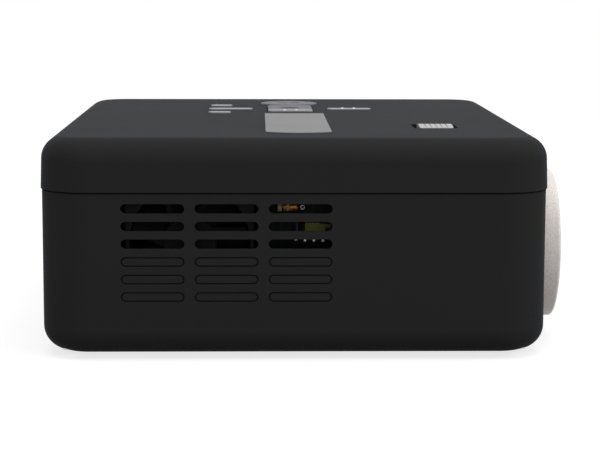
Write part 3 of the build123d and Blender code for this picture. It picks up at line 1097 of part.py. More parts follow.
# ------------------------------------------------------------------ disc loader
def loader_chassis():
    """The loader's base plate with its side walls, tray guides and gear pins."""
    reach = SIDE_GAP + CHASSIS_WALL + 1.0
    base = plate(CHASSIS_X, (TRAY_SIDES[0] - reach, TRAY_SIDES[1] + reach), (CHASSIS_Z, CHASSIS_TOP_Z), 3.0)
    adds = []
    for side, edge in ((-1, TRAY_SIDES[0]), (1, TRAY_SIDES[1])):
        inner = edge + side * SIDE_GAP
        outer = inner + side * CHASSIS_WALL
        wall_y = (min(inner, outer), max(inner, outer))
        adds.append(block(WALLS_X, wall_y, (CHASSIS_TOP_Z - 0.5, CHASSIS_WALL_TOP)))
        rail_y = tuple(sorted((inner + side * ROOT, inner - side * RAIL_REACH)))
        adds.append(block(WALLS_X, rail_y, (RAIL_Z - 2.0, RAIL_Z)))
        for hook_x in (WALLS_X[0], (WALLS_X[0] + WALLS_X[1]) / 2 - 20.0):
            adds.append(block((hook_x, hook_x + 12.0), rail_y, (TRAY_RIM_Z + FREE, CHASSIS_WALL_TOP)))
    window_x = (DECK_X[0] - 4.0, DECK_X[1] + 3.0)
    window_y = (DECK_SIDES[0] - 3.0, DECK_SIDES[1] + 3.0)
    base = base - plate(window_x, window_y, (CHASSIS_Z - 1.0, CHASSIS_TOP_Z + 1.0), 4.0)
    # brackets that carry the deck's hinge pins
    for side, edge in ((-1, DECK_SIDES[0]), (1, DECK_SIDES[1])):
        near = edge + side * FREE
        far = edge + side * 6.0
        adds.append(block((HINGE_X - 4.0, HINGE_X + 4.0), (min(near, far), max(near, far)),
                          (CHASSIS_Z, HINGE_Z + 4.0)))
    pins = [(GEAR_Y, PINION_Z[1] + 0.6), (IDLER_Y, PULLEY_Z[1] + 0.6)]
    adds += [bar_z(SPINDLE_R, GEAR_X, at_y, (CHASSIS_Z, top)) for at_y, top in pins]
    base = base + adds
    base = base - bar_y(ROD_R + RUNNING, HINGE_X, (DECK_SIDES[0] - 8.0, DECK_SIDES[1] + 8.0), HINGE_Z)
    base = base - bar_z(SPINDLE_R + 1.0, GEAR_X, MOTOR_Y, (CHASSIS_Z - 1.0, CHASSIS_TOP_Z + 1.0))
    return base - [bar_z(SCREW_R, x, y, (CHASSIS_Z - 1.0, CHASSIS_TOP_Z + 1.0)) for x, y in LOADER_POSTS]


def loader_screws():
    """Screws that hold the loader on its posts."""
    screws = []
    for x, y in LOADER_POSTS:
        head = bar_z(SCREW_HEAD_R - 0.4, x, y, (CHASSIS_TOP_Z, CHASSIS_TOP_Z + 1.6))
        head = fillet(head.faces().sort_by(Axis.Z)[-1].edges(), 0.5)
        shank = bar_z(SCREW_R - SLIP, x, y, (CHASSIS_Z, CHASSIS_TOP_Z + 0.5))
        drive = [Pos(x, y, CHASSIS_TOP_Z + 1.6) * Rot(0, 0, turn) * Box(2.6, 0.7, 1.4) for turn in (0, 90)]
        screws.append(head + shank - drive)
    return group(screws)


def loader_motor():
    """The tray's motor, hung under the loader's base plate."""
    z = (CHASSIS_Z - LOADER_MOTOR_DEPTH, CHASSIS_Z)
    can = bar_z(LOADER_MOTOR_R, GEAR_X, MOTOR_Y, z)
    flats = block((GEAR_X - LOADER_MOTOR_R, GEAR_X + LOADER_MOTOR_R),
                  (MOTOR_Y - LOADER_MOTOR_FLAT, MOTOR_Y + LOADER_MOTOR_FLAT), z)
    return (can & flats) - bar_z(SPINDLE_R + RUNNING, GEAR_X, MOTOR_Y, (CHASSIS_Z - 2.0, CHASSIS_Z + CUT))


def disc_tray():
    """The sliding tray with its disc pockets, centre slot and rack."""
    body = block(TRAY_X, TRAY_SIDES, (TRAY_Z, TRAY_RIM_Z))
    body = body - bar_z(POCKET_R, DISC_X, TRAY_Y, (TRAY_FLOOR_Z, TRAY_RIM_Z + 1.0))
    body = body - bar_z(SMALL_POCKET_R, DISC_X, TRAY_Y, (TRAY_FLOOR_Z - SMALL_POCKET_DEEP, TRAY_RIM_Z))
    slot_end = DISC_X - SLOT_BEHIND_DISC + SLOT_HALF_WIDTH
    slot_z = (TRAY_Z - CUT, TRAY_RIM_Z + CUT)
    slot_y = (TRAY_Y - SLOT_HALF_WIDTH, TRAY_Y + SLOT_HALF_WIDTH)
    slot = block((slot_end, TRAY_X[1] + CUT), slot_y, slot_z)
    body = body - (slot + bar_z(SLOT_HALF_WIDTH, slot_end, TRAY_Y, slot_z))
    return body + tray_rack()


def tray_rack():
    """The rack under the tray's edge, with a gap facing the pinion at rest."""
    pitch = math.pi * MODULE
    back_y = RACK_Y - DEDENDUM
    tip_y = RACK_Y + MODULE
    slope = math.tan(math.radians(PRESSURE_ANGLE))
    half_root = pitch / 4 - BACKLASH / 4 + DEDENDUM * slope
    half_tip = pitch / 4 - BACKLASH / 4 - MODULE * slope
    first = -2
    last = int(TRAY_TRAVEL / pitch) + 3
    ends = (GEAR_X + (first - 0.5) * pitch, GEAR_X + (last + 0.5) * pitch)
    points = [(ends[0], back_y - RACK_BAR), (ends[0], back_y)]
    for tooth in range(first, last):
        middle = GEAR_X + (tooth + 0.5) * pitch
        points += [(middle - half_root, back_y), (middle - half_tip, tip_y)]
        points += [(middle + half_tip, tip_y), (middle + half_root, back_y)]
    points += [(ends[1], back_y), (ends[1], back_y - RACK_BAR)]
    outline = make_face(Polyline(*points, close=True))
    return extrude(Pos(0, 0, TRAY_Z - RACK_DROP) * outline, amount=RACK_DROP + ROOT)


def tray_bezel():
    """The tray's front, flush with the casing's rear wall."""
    front = block((REAR_X, TRAY_X[0]), BEZEL_Y, BEZEL_Z)
    edges = front.faces().sort_by(Axis.X)[0].edges()
    return fillet(edges, 0.6)


def deck_frame():
    """The tilting deck under the tray, with its hinge pins."""
    base = plate(DECK_X, DECK_SIDES, DECK_Z, 3.0)
    well_x = (DISC_X + PICKUP_START, DECK_X[1] - DECK_END_BAR)
    well_y = (TRAY_Y - DECK_WELL_HALF, TRAY_Y + DECK_WELL_HALF)
    base = base - plate(well_x, well_y, (DECK_Z[0] - CUT, DECK_Z[1] + CUT), 3.0)
    adds = []
    for at_y in ROD_YS:
        for x in ROD_ENDS:
            adds.append(block((x - 1.5, x + 1.5), (at_y - 3.0, at_y + 3.0), (DECK_Z[1] - 0.5, ROD_Z + 2.5)))
    adds.append(bar_y(ROD_R, HINGE_X - 2.5, (DECK_SIDES[0], DECK_SIDES[1]), HINGE_Z))
    pins = bar_y(ROD_R, HINGE_X, (DECK_SIDES[0] - 5.0, DECK_SIDES[1] + 5.0), HINGE_Z)
    pins = pins - block((HINGE_X - 5, HINGE_X + 5), (DECK_SIDES[0] + 4.0, DECK_SIDES[1] - 4.0), DECK_Z)
    lugs = [block((HINGE_X - 4.0, HINGE_X + 2.0), (y, y + 4.0), (HINGE_Z - 2.2, HINGE_Z + 2.2))
            for y in (DECK_SIDES[0], DECK_SIDES[1] - 4.0)]
    base = base + adds + lugs + pins
    rod_x = (ROD_ENDS[0] - 3.0, ROD_ENDS[1] + 3.0)
    return base - [bar_x(ROD_R + SLIP / 4, rod_x, at_y, ROD_Z) for at_y in ROD_YS]


def guide_rods():
    """Two bright rods that the optical pickup slides on."""
    return group([bar_x(ROD_R, (ROD_ENDS[0] - 1.5, ROD_ENDS[1] + 1.5), y, ROD_Z) for y in ROD_YS])


def spindle_motor():
    """The flat motor under the turntable."""
    can = bar_z(SPINDLE_MOTOR_R, DISC_X, TRAY_Y, (DECK_Z[1], TURNTABLE_Z[0] - 0.5))
    foot = block((DISC_X - 12.0, DISC_X + 10.0), (TRAY_Y - 10.0, TRAY_Y + 10.0), (DECK_Z[1], DECK_Z[1] + 1.2))
    return can + foot - bar_z(SPINDLE_R + RUNNING, DISC_X, TRAY_Y, (DECK_Z[1] + 1.0, TURNTABLE_Z[0]))


def turntable():
    """The disc's seat, with its centring cone and shaft."""
    seat = bar_z(TURNTABLE_R, DISC_X, TRAY_Y, (TURNTABLE_Z[0], TURNTABLE_Z[1]))
    cone = Pos(DISC_X, TRAY_Y, TURNTABLE_Z[1] + 0.9) * Cone(7.4, 5.6, 1.8)
    shaft = bar_z(SPINDLE_R, DISC_X, TRAY_Y, (DECK_Z[1] + 1.5, TURNTABLE_Z[0] + 1.0))
    groove = bar_z(TURNTABLE_R - 3.0, DISC_X, TRAY_Y, (TURNTABLE_Z[1] - 0.5, TURNTABLE_Z[1] + 1.0))
    groove = groove - bar_z(TURNTABLE_R - 5.0, DISC_X, TRAY_Y, (TURNTABLE_Z[0], TURNTABLE_Z[1] + 2.0))
    return seat + cone + shaft - groove


def optical_pickup():
    """The sled that carries the laser lens along the disc's radius."""
    x = PICKUP_X
    body = plate(x, (TRAY_Y - 14.0, TRAY_Y + 14.0), (ROD_Z - 2.5, TRAY_Z - 2.0), 2.0)
    ears = [block((x[0] + 2.0, x[1] - 2.0), (at_y - 3.2, at_y + 3.2), (ROD_Z - 3.0, ROD_Z + 3.0))
            for at_y in ROD_YS]
    arms = block((x[0] + 4.0, x[1] - 4.0), (ROD_YS[0], ROD_YS[1]), (ROD_Z - 2.0, ROD_Z + 2.0))
    nut = block((x[0] + 6.0, x[1] - 6.0), (ROD_YS[1], SCREW_LINE_Y + 1.2), (ROD_Z - 2.4, ROD_Z + 2.4))
    sled = body + ears + arms + nut
    ends = (x[0] - 1.0, x[1] + 1.0)
    sled = sled - [bar_x(ROD_R + RUNNING, ends, at_y, ROD_Z) for at_y in ROD_YS]
    return sled - bar_x(LEAD_SCREW_R + RUNNING, ends, SCREW_LINE_Y, ROD_Z)


def pickup_lens():
    """The small laser lens on top of the sled."""
    x = (PICKUP_X[0] + PICKUP_X[1]) / 2
    holder = bar_z(PICKUP_LENS_R + 1.5, x, TRAY_Y, (TRAY_Z - 2.0, TRAY_Z - 0.8))
    dome = Pos(x, TRAY_Y, TRAY_Z - 0.8 - 2.4) * Sphere(PICKUP_LENS_R + 0.5)
    dome = dome & bar_z(PICKUP_LENS_R, x, TRAY_Y, (TRAY_Z - 0.9, TRAY_Z + 2.0))
    return holder + dome


def sled_motor():
    """The motor that turns the lead screw, in its clip on the deck."""
    can = bar_x(SLED_MOTOR_R, SLED_MOTOR_X, SCREW_LINE_Y, ROD_Z)
    clip = block((SLED_MOTOR_X[0] + 1.0, SLED_MOTOR_X[1] - 1.0), (SCREW_LINE_Y - 3.0, SCREW_LINE_Y + 3.0),
                 (DECK_Z[1], ROD_Z - 2.0))
    bearing = block((PICKUP_X[0] - 2.2, PICKUP_X[0] - 0.4), (SCREW_LINE_Y - 1.8, SCREW_LINE_Y + 3.0),
                    (DECK_Z[1], ROD_Z + 2.4))
    holder = group([can + clip, bearing])
    bore = bar_x(LEAD_SCREW_R + RUNNING, (PICKUP_X[0] - 3.0, SLED_MOTOR_X[0] + 6.0), SCREW_LINE_Y, ROD_Z)
    return group([solid - bore for solid in holder.solids()])


def lead_screw():
    """The screw that moves the sled."""
    x = (PICKUP_X[0] - 2.2, SLED_MOTOR_X[0] + 5.0)
    screw = bar_x(LEAD_SCREW_R, x, SCREW_LINE_Y, ROD_Z)
    threads = []
    turns = int((PICKUP_TRAVEL + PICKUP_LENGTH - 8.0) / LEAD_SCREW_PITCH)
    for turn in range(turns):
        at_x = PICKUP_X[0] + 1.0 + LEAD_SCREW_PITCH * turn
        ring = bar_x(LEAD_SCREW_R + 1.0, (at_x, at_x + 0.6), SCREW_LINE_Y, ROD_Z)
        threads.append(ring - bar_x(LEAD_SCREW_R - 0.25, (at_x - 1.0, at_x + 2.0), SCREW_LINE_Y, ROD_Z))
    return screw - threads


def clamp_bridge():
    """The bridge over the tray that carries the disc clamp."""
    y = (TRAY_SIDES[0] - SIDE_GAP - CHASSIS_WALL, TRAY_SIDES[1] + SIDE_GAP + CHASSIS_WALL)
    beam = plate((DISC_X - BRIDGE_HALF, DISC_X + BRIDGE_HALF), y, BRIDGE_Z, 3.0)
    foot_x = (DISC_X - BRIDGE_HALF + 2.0, DISC_X + BRIDGE_HALF - 2.0)
    feet = [block(foot_x, side_y, (CHASSIS_WALL_TOP, BRIDGE_Z[0] + ROOT))
            for side_y in ((y[0], y[0] + CHASSIS_WALL), (y[1] - CHASSIS_WALL, y[1]))]
    ribs = [block((x - RIB_THICK / 2, x + RIB_THICK / 2), (y[0] + 4.0, y[1] - 4.0),
                  (BRIDGE_Z[1] - ROOT, BRIDGE_Z[1] + 2.0))
            for x in (DISC_X - BRIDGE_HALF + 3.0, DISC_X + BRIDGE_HALF - 3.0)]
    hole = bar_z(PUCK_R - 3.0, DISC_X, TRAY_Y, (BRIDGE_Z[0] - CUT, BRIDGE_Z[1] + CUT))
    return beam + feet + ribs - hole


def clamp_puck():
    """The magnetic clamp that hangs in the bridge above the disc."""
    low = bar_z(PUCK_R, DISC_X, TRAY_Y, (TRAY_RIM_Z + 0.4, BRIDGE_Z[0] - 0.5))
    low = low - bar_z(PUCK_R - 4.0, DISC_X, TRAY_Y, (TRAY_RIM_Z, TRAY_RIM_Z + 1.8))
    neck = bar_z(PUCK_R - 3.0 - SLIP, DISC_X, TRAY_Y, (TRAY_RIM_Z + 1.0, BRIDGE_Z[1] + 0.6))
    cap = bar_z(PUCK_R - 1.0, DISC_X, TRAY_Y, (BRIDGE_Z[1] + 0.1, BRIDGE_Z[1] + 1.6))
    return low + neck + cap - bar_z(PUCK_R - 4.0, DISC_X, TRAY_Y, (TRAY_RIM_Z, TRAY_RIM_Z + 1.8))


# ------------------------------------------------------------------ top controls
KEY_BOARD_STANDS = board_stands(KEY_BOARD_X, KEY_BOARD_Y)


def key(name):
    """One key: a cap in the lid, a flange under it and a stem to its switch."""
    kind, x, y, length, width = KEYS[name]
    cap = extrude(Pos(x, y, FLANGE_TOP_Z - ROOT) * key_outline(kind, length, width, 0),
                  amount=KEY_TOP_Z - FLANGE_TOP_Z + ROOT)
    cap = fillet(cap.faces().sort_by(Axis.Z)[-1].edges(), KEY_EDGE)
    if kind == "pad":
        flange_plan = Rectangle(length + 2 * KEY_FLANGE, width - 1.0)
    else:
        flange_plan = key_outline(kind, length, width, KEY_FLANGE)
    flange = extrude(Pos(x, y, FLANGE_TOP_Z - FLANGE_THICK) * flange_plan, amount=FLANGE_THICK)
    stem = bar_z(KEY_STEM_R, x, y, (STEM_Z, FLANGE_TOP_Z - FLANGE_THICK + ROOT))
    if name == "power_key":
        dimple = Pos(x, y + 1.0, KEY_TOP_Z + DIMPLE_R - DIMPLE_DEEP) * Sphere(DIMPLE_R)
        cap = cap - [Pos(side * 3.0, 0, 0) * dimple for side in (-1, 1)]
    if name == "ok_key":
        cap = cap - Pos(x, y, KEY_TOP_Z + DISH_R - DISH_DEEP) * Sphere(DISH_R)
    if name == "down_key":
        pip = Pos(x, y - width / 2 + 2.0, KEY_TOP_Z + PIP_PROUD - PIP_R) * Sphere(PIP_R)
        cap = cap + [Pos(side * 2.8, 0, 0) * pip for side in (-1, 1)]
    return cap + flange + stem


def key_board():
    """The switch board under the keys, hung from the lid's posts."""
    board = block(KEY_BOARD_X, KEY_BOARD_Y, (KEY_BOARD_Z, KEY_BOARD_TOP_Z))
    domes = [bar_z(3.0, x, y, (KEY_BOARD_TOP_Z - 0.2, SWITCH_TOP_Z)) for _, x, y, _, _ in KEYS.values()]
    return board + domes


# ------------------------------------------------------------------ export
NODES = {
    "lower_shell": lower_shell,
    "upper_shell": upper_shell,
    "rubber_feet": rubber_feet,
    "case_screws": case_screws,
    "nameplate": nameplate,
    "tripod_insert": tripod_insert,
    "lens_ring": lens_ring,
    "lens_sleeve": lens_sleeve,
    "lens_barrel": lens_barrel,
    "projection_lenses": projection_lenses,
    "focus_lever": focus_lever,
    "optics_housing": optics_housing,
    "optics_cover": optics_cover,
    "condenser_lens": condenser_lens,
    "fresnel_lenses": fresnel_lenses,
    "lcd_panel": lcd_panel,
    "led_module": led_module,
    "heat_sink": heat_sink,
    "fan_frame": fan_frame,
    "fan_rotor": fan_rotor,
    "main_board": main_board,
    "main_board_parts": main_board_parts,
    "power_board": power_board,
    "power_board_parts": power_board_parts,
    "driver_board": driver_board,
    "driver_board_parts": driver_board_parts,
    "hdmi_socket": hdmi_socket,
    "usb_socket": usb_socket,
    "av_jack": av_jack,
    "ac_inlet": ac_inlet,
    "speaker": speaker,
    "loader_chassis": loader_chassis,
    "loader_screws": loader_screws,
    "loader_motor": loader_motor,
    "drive_gear": drive_gear,
    "pulley_gear": pulley_gear,
    "motor_pulley": motor_pulley,
    "drive_belt": drive_belt,
    "disc_tray": disc_tray,
    "tray_bezel": tray_bezel,
    "deck_frame": deck_frame,
    "guide_rods": guide_rods,
    "spindle_motor": spindle_motor,
    "turntable": turntable,
    "optical_pickup": optical_pickup,
    "pickup_lens": pickup_lens,
    "sled_motor": sled_motor,
    "lead_screw": lead_screw,
    "clamp_bridge": clamp_bridge,
    "clamp_puck": clamp_puck,
    "key_board": key_board,
}

os.makedirs("parts", exist_ok=True)
for node, make in NODES.items():
    export_step(Pos(SHIFT_X, 0, 0) * make(), "parts/" + node + ".step")
for node in KEYS:
    export_step(Pos(SHIFT_X, 0, 0) * key(node), "parts/" + node + ".step")
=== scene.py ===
# %% [markdown]
# This notebook dresses a table-top projector that has a disc player in the same casing.
# The construction comes in as a fixed frame: every piece already has its real size and place.
# Here we only give the pieces their finish, add the small parts that a finish can't show,
# and set up the camera and a plain studio.

# %% Load the frame
import math

import bmesh
import bpy
from mathutils import Matrix, Vector


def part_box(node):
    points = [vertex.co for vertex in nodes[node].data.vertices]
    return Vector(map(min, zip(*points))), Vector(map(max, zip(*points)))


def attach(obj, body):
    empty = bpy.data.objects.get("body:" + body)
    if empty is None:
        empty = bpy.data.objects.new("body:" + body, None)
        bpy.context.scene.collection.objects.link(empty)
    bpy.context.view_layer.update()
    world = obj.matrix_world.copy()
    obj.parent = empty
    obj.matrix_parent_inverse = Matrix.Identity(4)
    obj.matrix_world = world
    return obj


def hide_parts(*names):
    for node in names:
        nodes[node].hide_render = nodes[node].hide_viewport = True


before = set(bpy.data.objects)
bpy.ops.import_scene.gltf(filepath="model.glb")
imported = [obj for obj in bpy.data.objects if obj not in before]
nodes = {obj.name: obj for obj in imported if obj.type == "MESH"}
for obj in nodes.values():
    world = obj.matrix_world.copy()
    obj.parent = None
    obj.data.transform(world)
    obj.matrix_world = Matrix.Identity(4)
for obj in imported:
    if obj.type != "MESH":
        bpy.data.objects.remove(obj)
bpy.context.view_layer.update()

MM = 0.001
scene = bpy.context.scene

# %% [markdown]
# The pieces come in with flat facets. A moulded casing has smooth fillets that end in crisp
# parting lines. Finer meshes would show that too, but at a cost, so every face is shaded
# smooth instead, and only edges that turn by more than a set angle stay sharp. This changes
# how light runs over the mesh, and leaves its points alone.

# %% Shade the pieces
SHARP_TURN = math.radians(32)


def shade(piece):
    """Smooth shading that keeps the edges sharper than the set turn."""
    piece.data.shade_smooth()
    piece.data.set_sharp_from_angle(angle=SHARP_TURN)


for piece in nodes.values():
    shade(piece)
print("triangles:", sum(len(piece.data.polygons) for piece in nodes.values()))

# %% [markdown]
# The photograph was taken with a long lens, a little above the lid, almost square to the air
# inlet side. A camera could be moved by eye until the outlines agree. Here its place was
# worked out from the picture: where the lid's side edges meet gives the horizon, and the near
# and far edges give the distance. Real sizes are used, so the perspective matches when the
# casing does.

# %% Place the camera
IMAGE_WIDTH = 600
FOCAL_PIXELS = 1846.0
SENSOR_MM = 36.0
CAMERA_YAW = 0.0233               # angles in radians
CAMERA_PITCH = 0.1351
CAMERA_ROLL = 0.0028
CAMERA_DISTANCE = 709.0 * MM      # from the casing's near side
CAMERA_HEIGHT = 148.1 * MM        # above the casing's underside
CAMERA_ASIDE = -14.8 * MM         # from the casing's middle, towards the rear
NEAREST_SEEN, FARTHEST_SEEN = 0.01, 50.0

shell_low, shell_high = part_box("lower_shell")
casing_middle = (shell_low + shell_high) / 2


def camera_axes(yaw, pitch, roll):
    """Right, up and forward directions of the view."""
    level = math.cos(pitch)
    forward = Vector((math.sin(yaw) * level, math.cos(yaw) * level, -math.sin(pitch)))
    right = Vector((math.cos(yaw), -math.sin(yaw), 0))
    up = right.cross(forward)
    rolled_right = right * math.cos(roll) + up * math.sin(roll)
    rolled_up = up * math.cos(roll) - right * math.sin(roll)
    return rolled_right, rolled_up, forward


camera_right, camera_up, camera_forward = camera_axes(CAMERA_YAW, CAMERA_PITCH, CAMERA_ROLL)
camera_turn = Matrix((camera_right, camera_up, -camera_forward)).transposed().to_4x4()
camera_place = Vector((casing_middle.x + CAMERA_ASIDE,
                       shell_low.y - CAMERA_DISTANCE,
                       shell_low.z + CAMERA_HEIGHT))
camera_data = bpy.data.cameras.new("view_camera")
camera_data.sensor_width = SENSOR_MM
camera_data.lens = FOCAL_PIXELS * SENSOR_MM / IMAGE_WIDTH
camera_data.clip_start = NEAREST_SEEN
camera_data.clip_end = FARTHEST_SEEN
camera = bpy.data.objects.new("view_camera", camera_data)
camera.matrix_world = Matrix.Translation(camera_place) @ camera_turn
scene.collection.objects.link(camera)
scene.camera = camera
print("lens in mm:", round(camera_data.lens, 1))

# %% [markdown]
# The object stands in a plain white studio. A very bright world would make the background
# white, but it would also lift the dark plastic to grey. So the world has two strengths: it
# looks white to the camera and in clear reflections, and it lights the object only softly.
# A Light Path node tells the two kinds of ray apart.

# %% White world
WORLD_LIGHT = 0.5
WORLD_SEEN = 1.0
WHITE = (1, 1, 1, 1)
scene.view_settings.view_transform = "Standard"


def link(tree, source, source_socket, target, target_socket):
    """Join two sockets, each given by its label or its number."""
    tree.links.new(source.outputs[source_socket], target.inputs[target_socket])


def set_inputs(node, values):
    """Set several sockets of a node, from a dict of labels or numbers and their values."""
    for label, value in values.items():
        node.inputs[label].default_value = value


def math_node(tree, operation):
    """A node for one sum."""
    node = tree.nodes.new("ShaderNodeMath")
    node.operation = operation
    return node


def seen_directly(tree):
    """1 for rays from the camera and for mirror-like and clear rays, 0 for scattered light."""
    path = tree.nodes.new("ShaderNodeLightPath")
    clear = math_node(tree, "MAXIMUM")
    link(tree, path, "Is Glossy Ray", clear, 0)
    link(tree, path, "Is Transmission Ray", clear, 1)
    direct = math_node(tree, "MAXIMUM")
    link(tree, path, "Is Camera Ray", direct, 0)
    link(tree, clear, "Value", direct, 1)
    return direct


def white_world():
    """A world that lights softly and looks white."""
    world = bpy.data.worlds.new("studio_world")
    world.use_nodes = True
    tree = world.node_tree
    background = tree.nodes["Background"]
    set_inputs(background, {"Color": WHITE})
    strength = tree.nodes.new("ShaderNodeMapRange")
    set_inputs(strength, {"To Min": WORLD_LIGHT, "To Max": WORLD_SEEN})
    link(tree, seen_directly(tree), "Value", strength, "Value")
    link(tree, strength, "Result", background, "Strength")
    return world


scene.world = white_world()
print("world light:", WORLD_LIGHT)

# %% [markdown]
# The table has to look white as well, and still take the object's shadow. A white table in
# strong light would throw its light up at the object. This one is a middle grey that glows a
# little, and the glow is only there for the camera and for clear reflections. The helper for
# a new material is used by every finish further on.

# %% Pale table
TABLE_REACH = 1.1
TABLE_ROUGHNESS = 0.9
FLOOR_COLOUR = (0.36, 0.36, 0.36, 1)
FLOOR_GLOW = 0.76


def new_material(name, values):
    """A material with one Principled shader; returns it, its node tree and the shader."""
    material = bpy.data.materials.new(name)
    material.use_nodes = True
    shader = material.node_tree.nodes["Principled BSDF"]
    set_inputs(shader, values)
    return material, material.node_tree, shader


def table_top():
    """The pale surface under the object, white to the camera where no shadow falls."""
    mesh = bpy.data.meshes.new("table_top")
    reach = TABLE_REACH
    corners = [(-reach, -reach, 0), (reach, -reach, 0), (reach, reach, 0), (-reach, reach, 0)]
    mesh.from_pydata(corners, [], [(0, 1, 2, 3)])
    table = bpy.data.objects.new("table_top", mesh)
    scene.collection.objects.link(table)
    material, tree, shader = new_material("table_pale", {
        "Base Color": FLOOR_COLOUR, "Roughness": TABLE_ROUGHNESS, "Specular IOR Level": 0.0,
        "Emission Color": WHITE})
    glow = math_node(tree, "MULTIPLY")
    glow.inputs[1].default_value = FLOOR_GLOW
    link(tree, seen_directly(tree), "Value", glow, 0)
    link(tree, glow, "Value", shader, "Emission Strength")
    mesh.materials.append(material)


table_top()
print("table reaches", TABLE_REACH, "m to each side")

# %% [markdown]
# The light in the photograph is soft and comes mostly from above. Small lamps would draw hard
# shadows and sharp highlights, so both lamps are large squares: one above the object, and a
# weaker one at the right, which brightens the lens ring.

# %% Lamps
LAMP_TARGET = Vector((0, 0, 0.04))
LAMP_ABOVE = {"place": Vector((0.1, -0.2, 1.5)), "size": 1.6, "power": 14}
LAMP_RIGHT = {"place": Vector((1.3, -0.7, 0.8)), "size": 0.8, "power": 5}


def soft_lamp(name, place, size, power):
    """A large square lamp that looks at the object."""
    data = bpy.data.lights.new(name, "AREA")
    data.size = size
    data.energy = power
    lamp = bpy.data.objects.new(name, data)
    scene.collection.objects.link(lamp)
    lamp.location = place
    lamp.rotation_euler = (LAMP_TARGET - place).to_track_quat("-Z", "Y").to_euler()


soft_lamp("lamp_above", **LAMP_ABOVE)
soft_lamp("lamp_right", **LAMP_RIGHT)
print("lamp powers in watts:", LAMP_ABOVE["power"], LAMP_RIGHT["power"])

# %% [markdown]
# Moulded plastic is never perfectly even, and the same small effects turn up on many of its
# pieces. They could be built again in each material, but then a change would have to be made
# everywhere. So each effect is built once as a group of shader nodes. The groups only give out
# colours, roughnesses and normals, and the shader itself stays in each material. Two helpers
# make a group and the noise that most effects start from.

# %% Helpers for shared effects
NUMBER, COLOUR, DIRECTION = "NodeSocketFloat", "NodeSocketColor", "NodeSocketVector"
NOISE_MEAN = 0.5
NOISE_LOW, NOISE_HIGH = 0.3, 0.7      # the noise seldom leaves this range


def new_group(name, inputs, output, kind):
    """A node group; its inputs are given as (label, kind, default), and it has one output."""
    group = bpy.data.node_groups.new(name, "ShaderNodeTree")
    for input_label, input_kind, default in inputs:
        socket = group.interface.new_socket(input_label, in_out="INPUT", socket_type=input_kind)
        socket.default_value = default
    group.interface.new_socket(output, in_out="OUTPUT", socket_type=kind)
    start = group.nodes.new("NodeGroupInput")
    end = group.nodes.new("NodeGroupOutput")
    return group, start, end


def group_noise(group, start, detail, roughness):
    """Smooth noise over the object's own coordinates, at the scale that the group is given."""
    place = group.nodes.new("ShaderNodeTexCoord")
    noise = group.nodes.new("ShaderNodeTexNoise")
    set_inputs(noise, {"Detail": detail, "Roughness": roughness})
    link(group, place, "Object", noise, "Vector")
    link(group, start, "Scale", noise, "Scale")
    return noise


print("noise range used:", NOISE_LOW, "to", NOISE_HIGH)

# %% [markdown]
# A mould leaves a fine grain on plastic, which breaks up reflections. It is far too fine to
# model, so noise tilts the surface's normal by a little, as a bump.

# %% Fine grain
GRAIN_SCALE = 1600.0
GRAIN_HEIGHT = 0.05 * MM


def grain_group():
    """Fine texture of a moulded or blasted surface, as a normal."""
    group, start, end = new_group(
        "fine_grain", [("Scale", NUMBER, GRAIN_SCALE), ("Depth", NUMBER, 0.1)],
        "Normal", DIRECTION)
    noise = group_noise(group, start, detail=3.0, roughness=0.6)
    bump = group.nodes.new("ShaderNodeBump")
    set_inputs(bump, {"Distance": GRAIN_HEIGHT})
    link(group, start, "Depth", bump, "Strength")
    link(group, noise, "Fac", bump, "Height")
    link(group, bump, "Normal", end, "Normal")
    return group


fine_grain = grain_group()
print("grain height in mm:", GRAIN_HEIGHT / MM)

# %% [markdown]
# Hands and cloths leave broad soft patches that are a little glossier or duller than the rest.
# A painted mask would do, but it would have to be made for each piece, and noise fits them all:
# it moves the roughness up and down around the value that the finish asks for.

# %% Handling marks
MARK_SCALE = 22.0


def handling_group():
    """Broad uneven gloss where hands and cloths have been, as a roughness."""
    group, start, end = new_group(
        "handling_marks", [("Roughness", NUMBER, 0.5), ("Spread", NUMBER, 0.1),
                           ("Scale", NUMBER, MARK_SCALE)],
        "Roughness", NUMBER)
    noise = group_noise(group, start, detail=5.0, roughness=0.6)
    centred = math_node(group, "SUBTRACT")
    centred.inputs[1].default_value = NOISE_MEAN
    link(group, noise, "Fac", centred, 0)
    spread = math_node(group, "MULTIPLY_ADD")
    link(group, centred, "Value", spread, 0)
    link(group, start, "Spread", spread, 1)
    link(group, start, "Roughness", spread, 2)
    link(group, spread, "Value", end, "Roughness")
    return group


handling_marks = handling_group()
print("size of the patches in mm, about:", round(1 / MARK_SCALE / MM))

# %% [markdown]
# Dust sits on dark surfaces as small pale specks. Particles would be real geometry and far too
# many. A Voronoi texture does it better here: it scatters cells over the surface, a speck is
# drawn where a point is near its cell's middle, and only a share of the cells gets one.

# %% Dust specks
SPECK_SCALE = 420.0
SPECK_SHARE = 0.18
DUST_COLOUR = (0.4, 0.38, 0.34, 1)
MIX_FACTOR, MIX_FIRST, MIX_SECOND, MIX_RESULT = 0, 6, 7, 2    # a Mix node's colour sockets


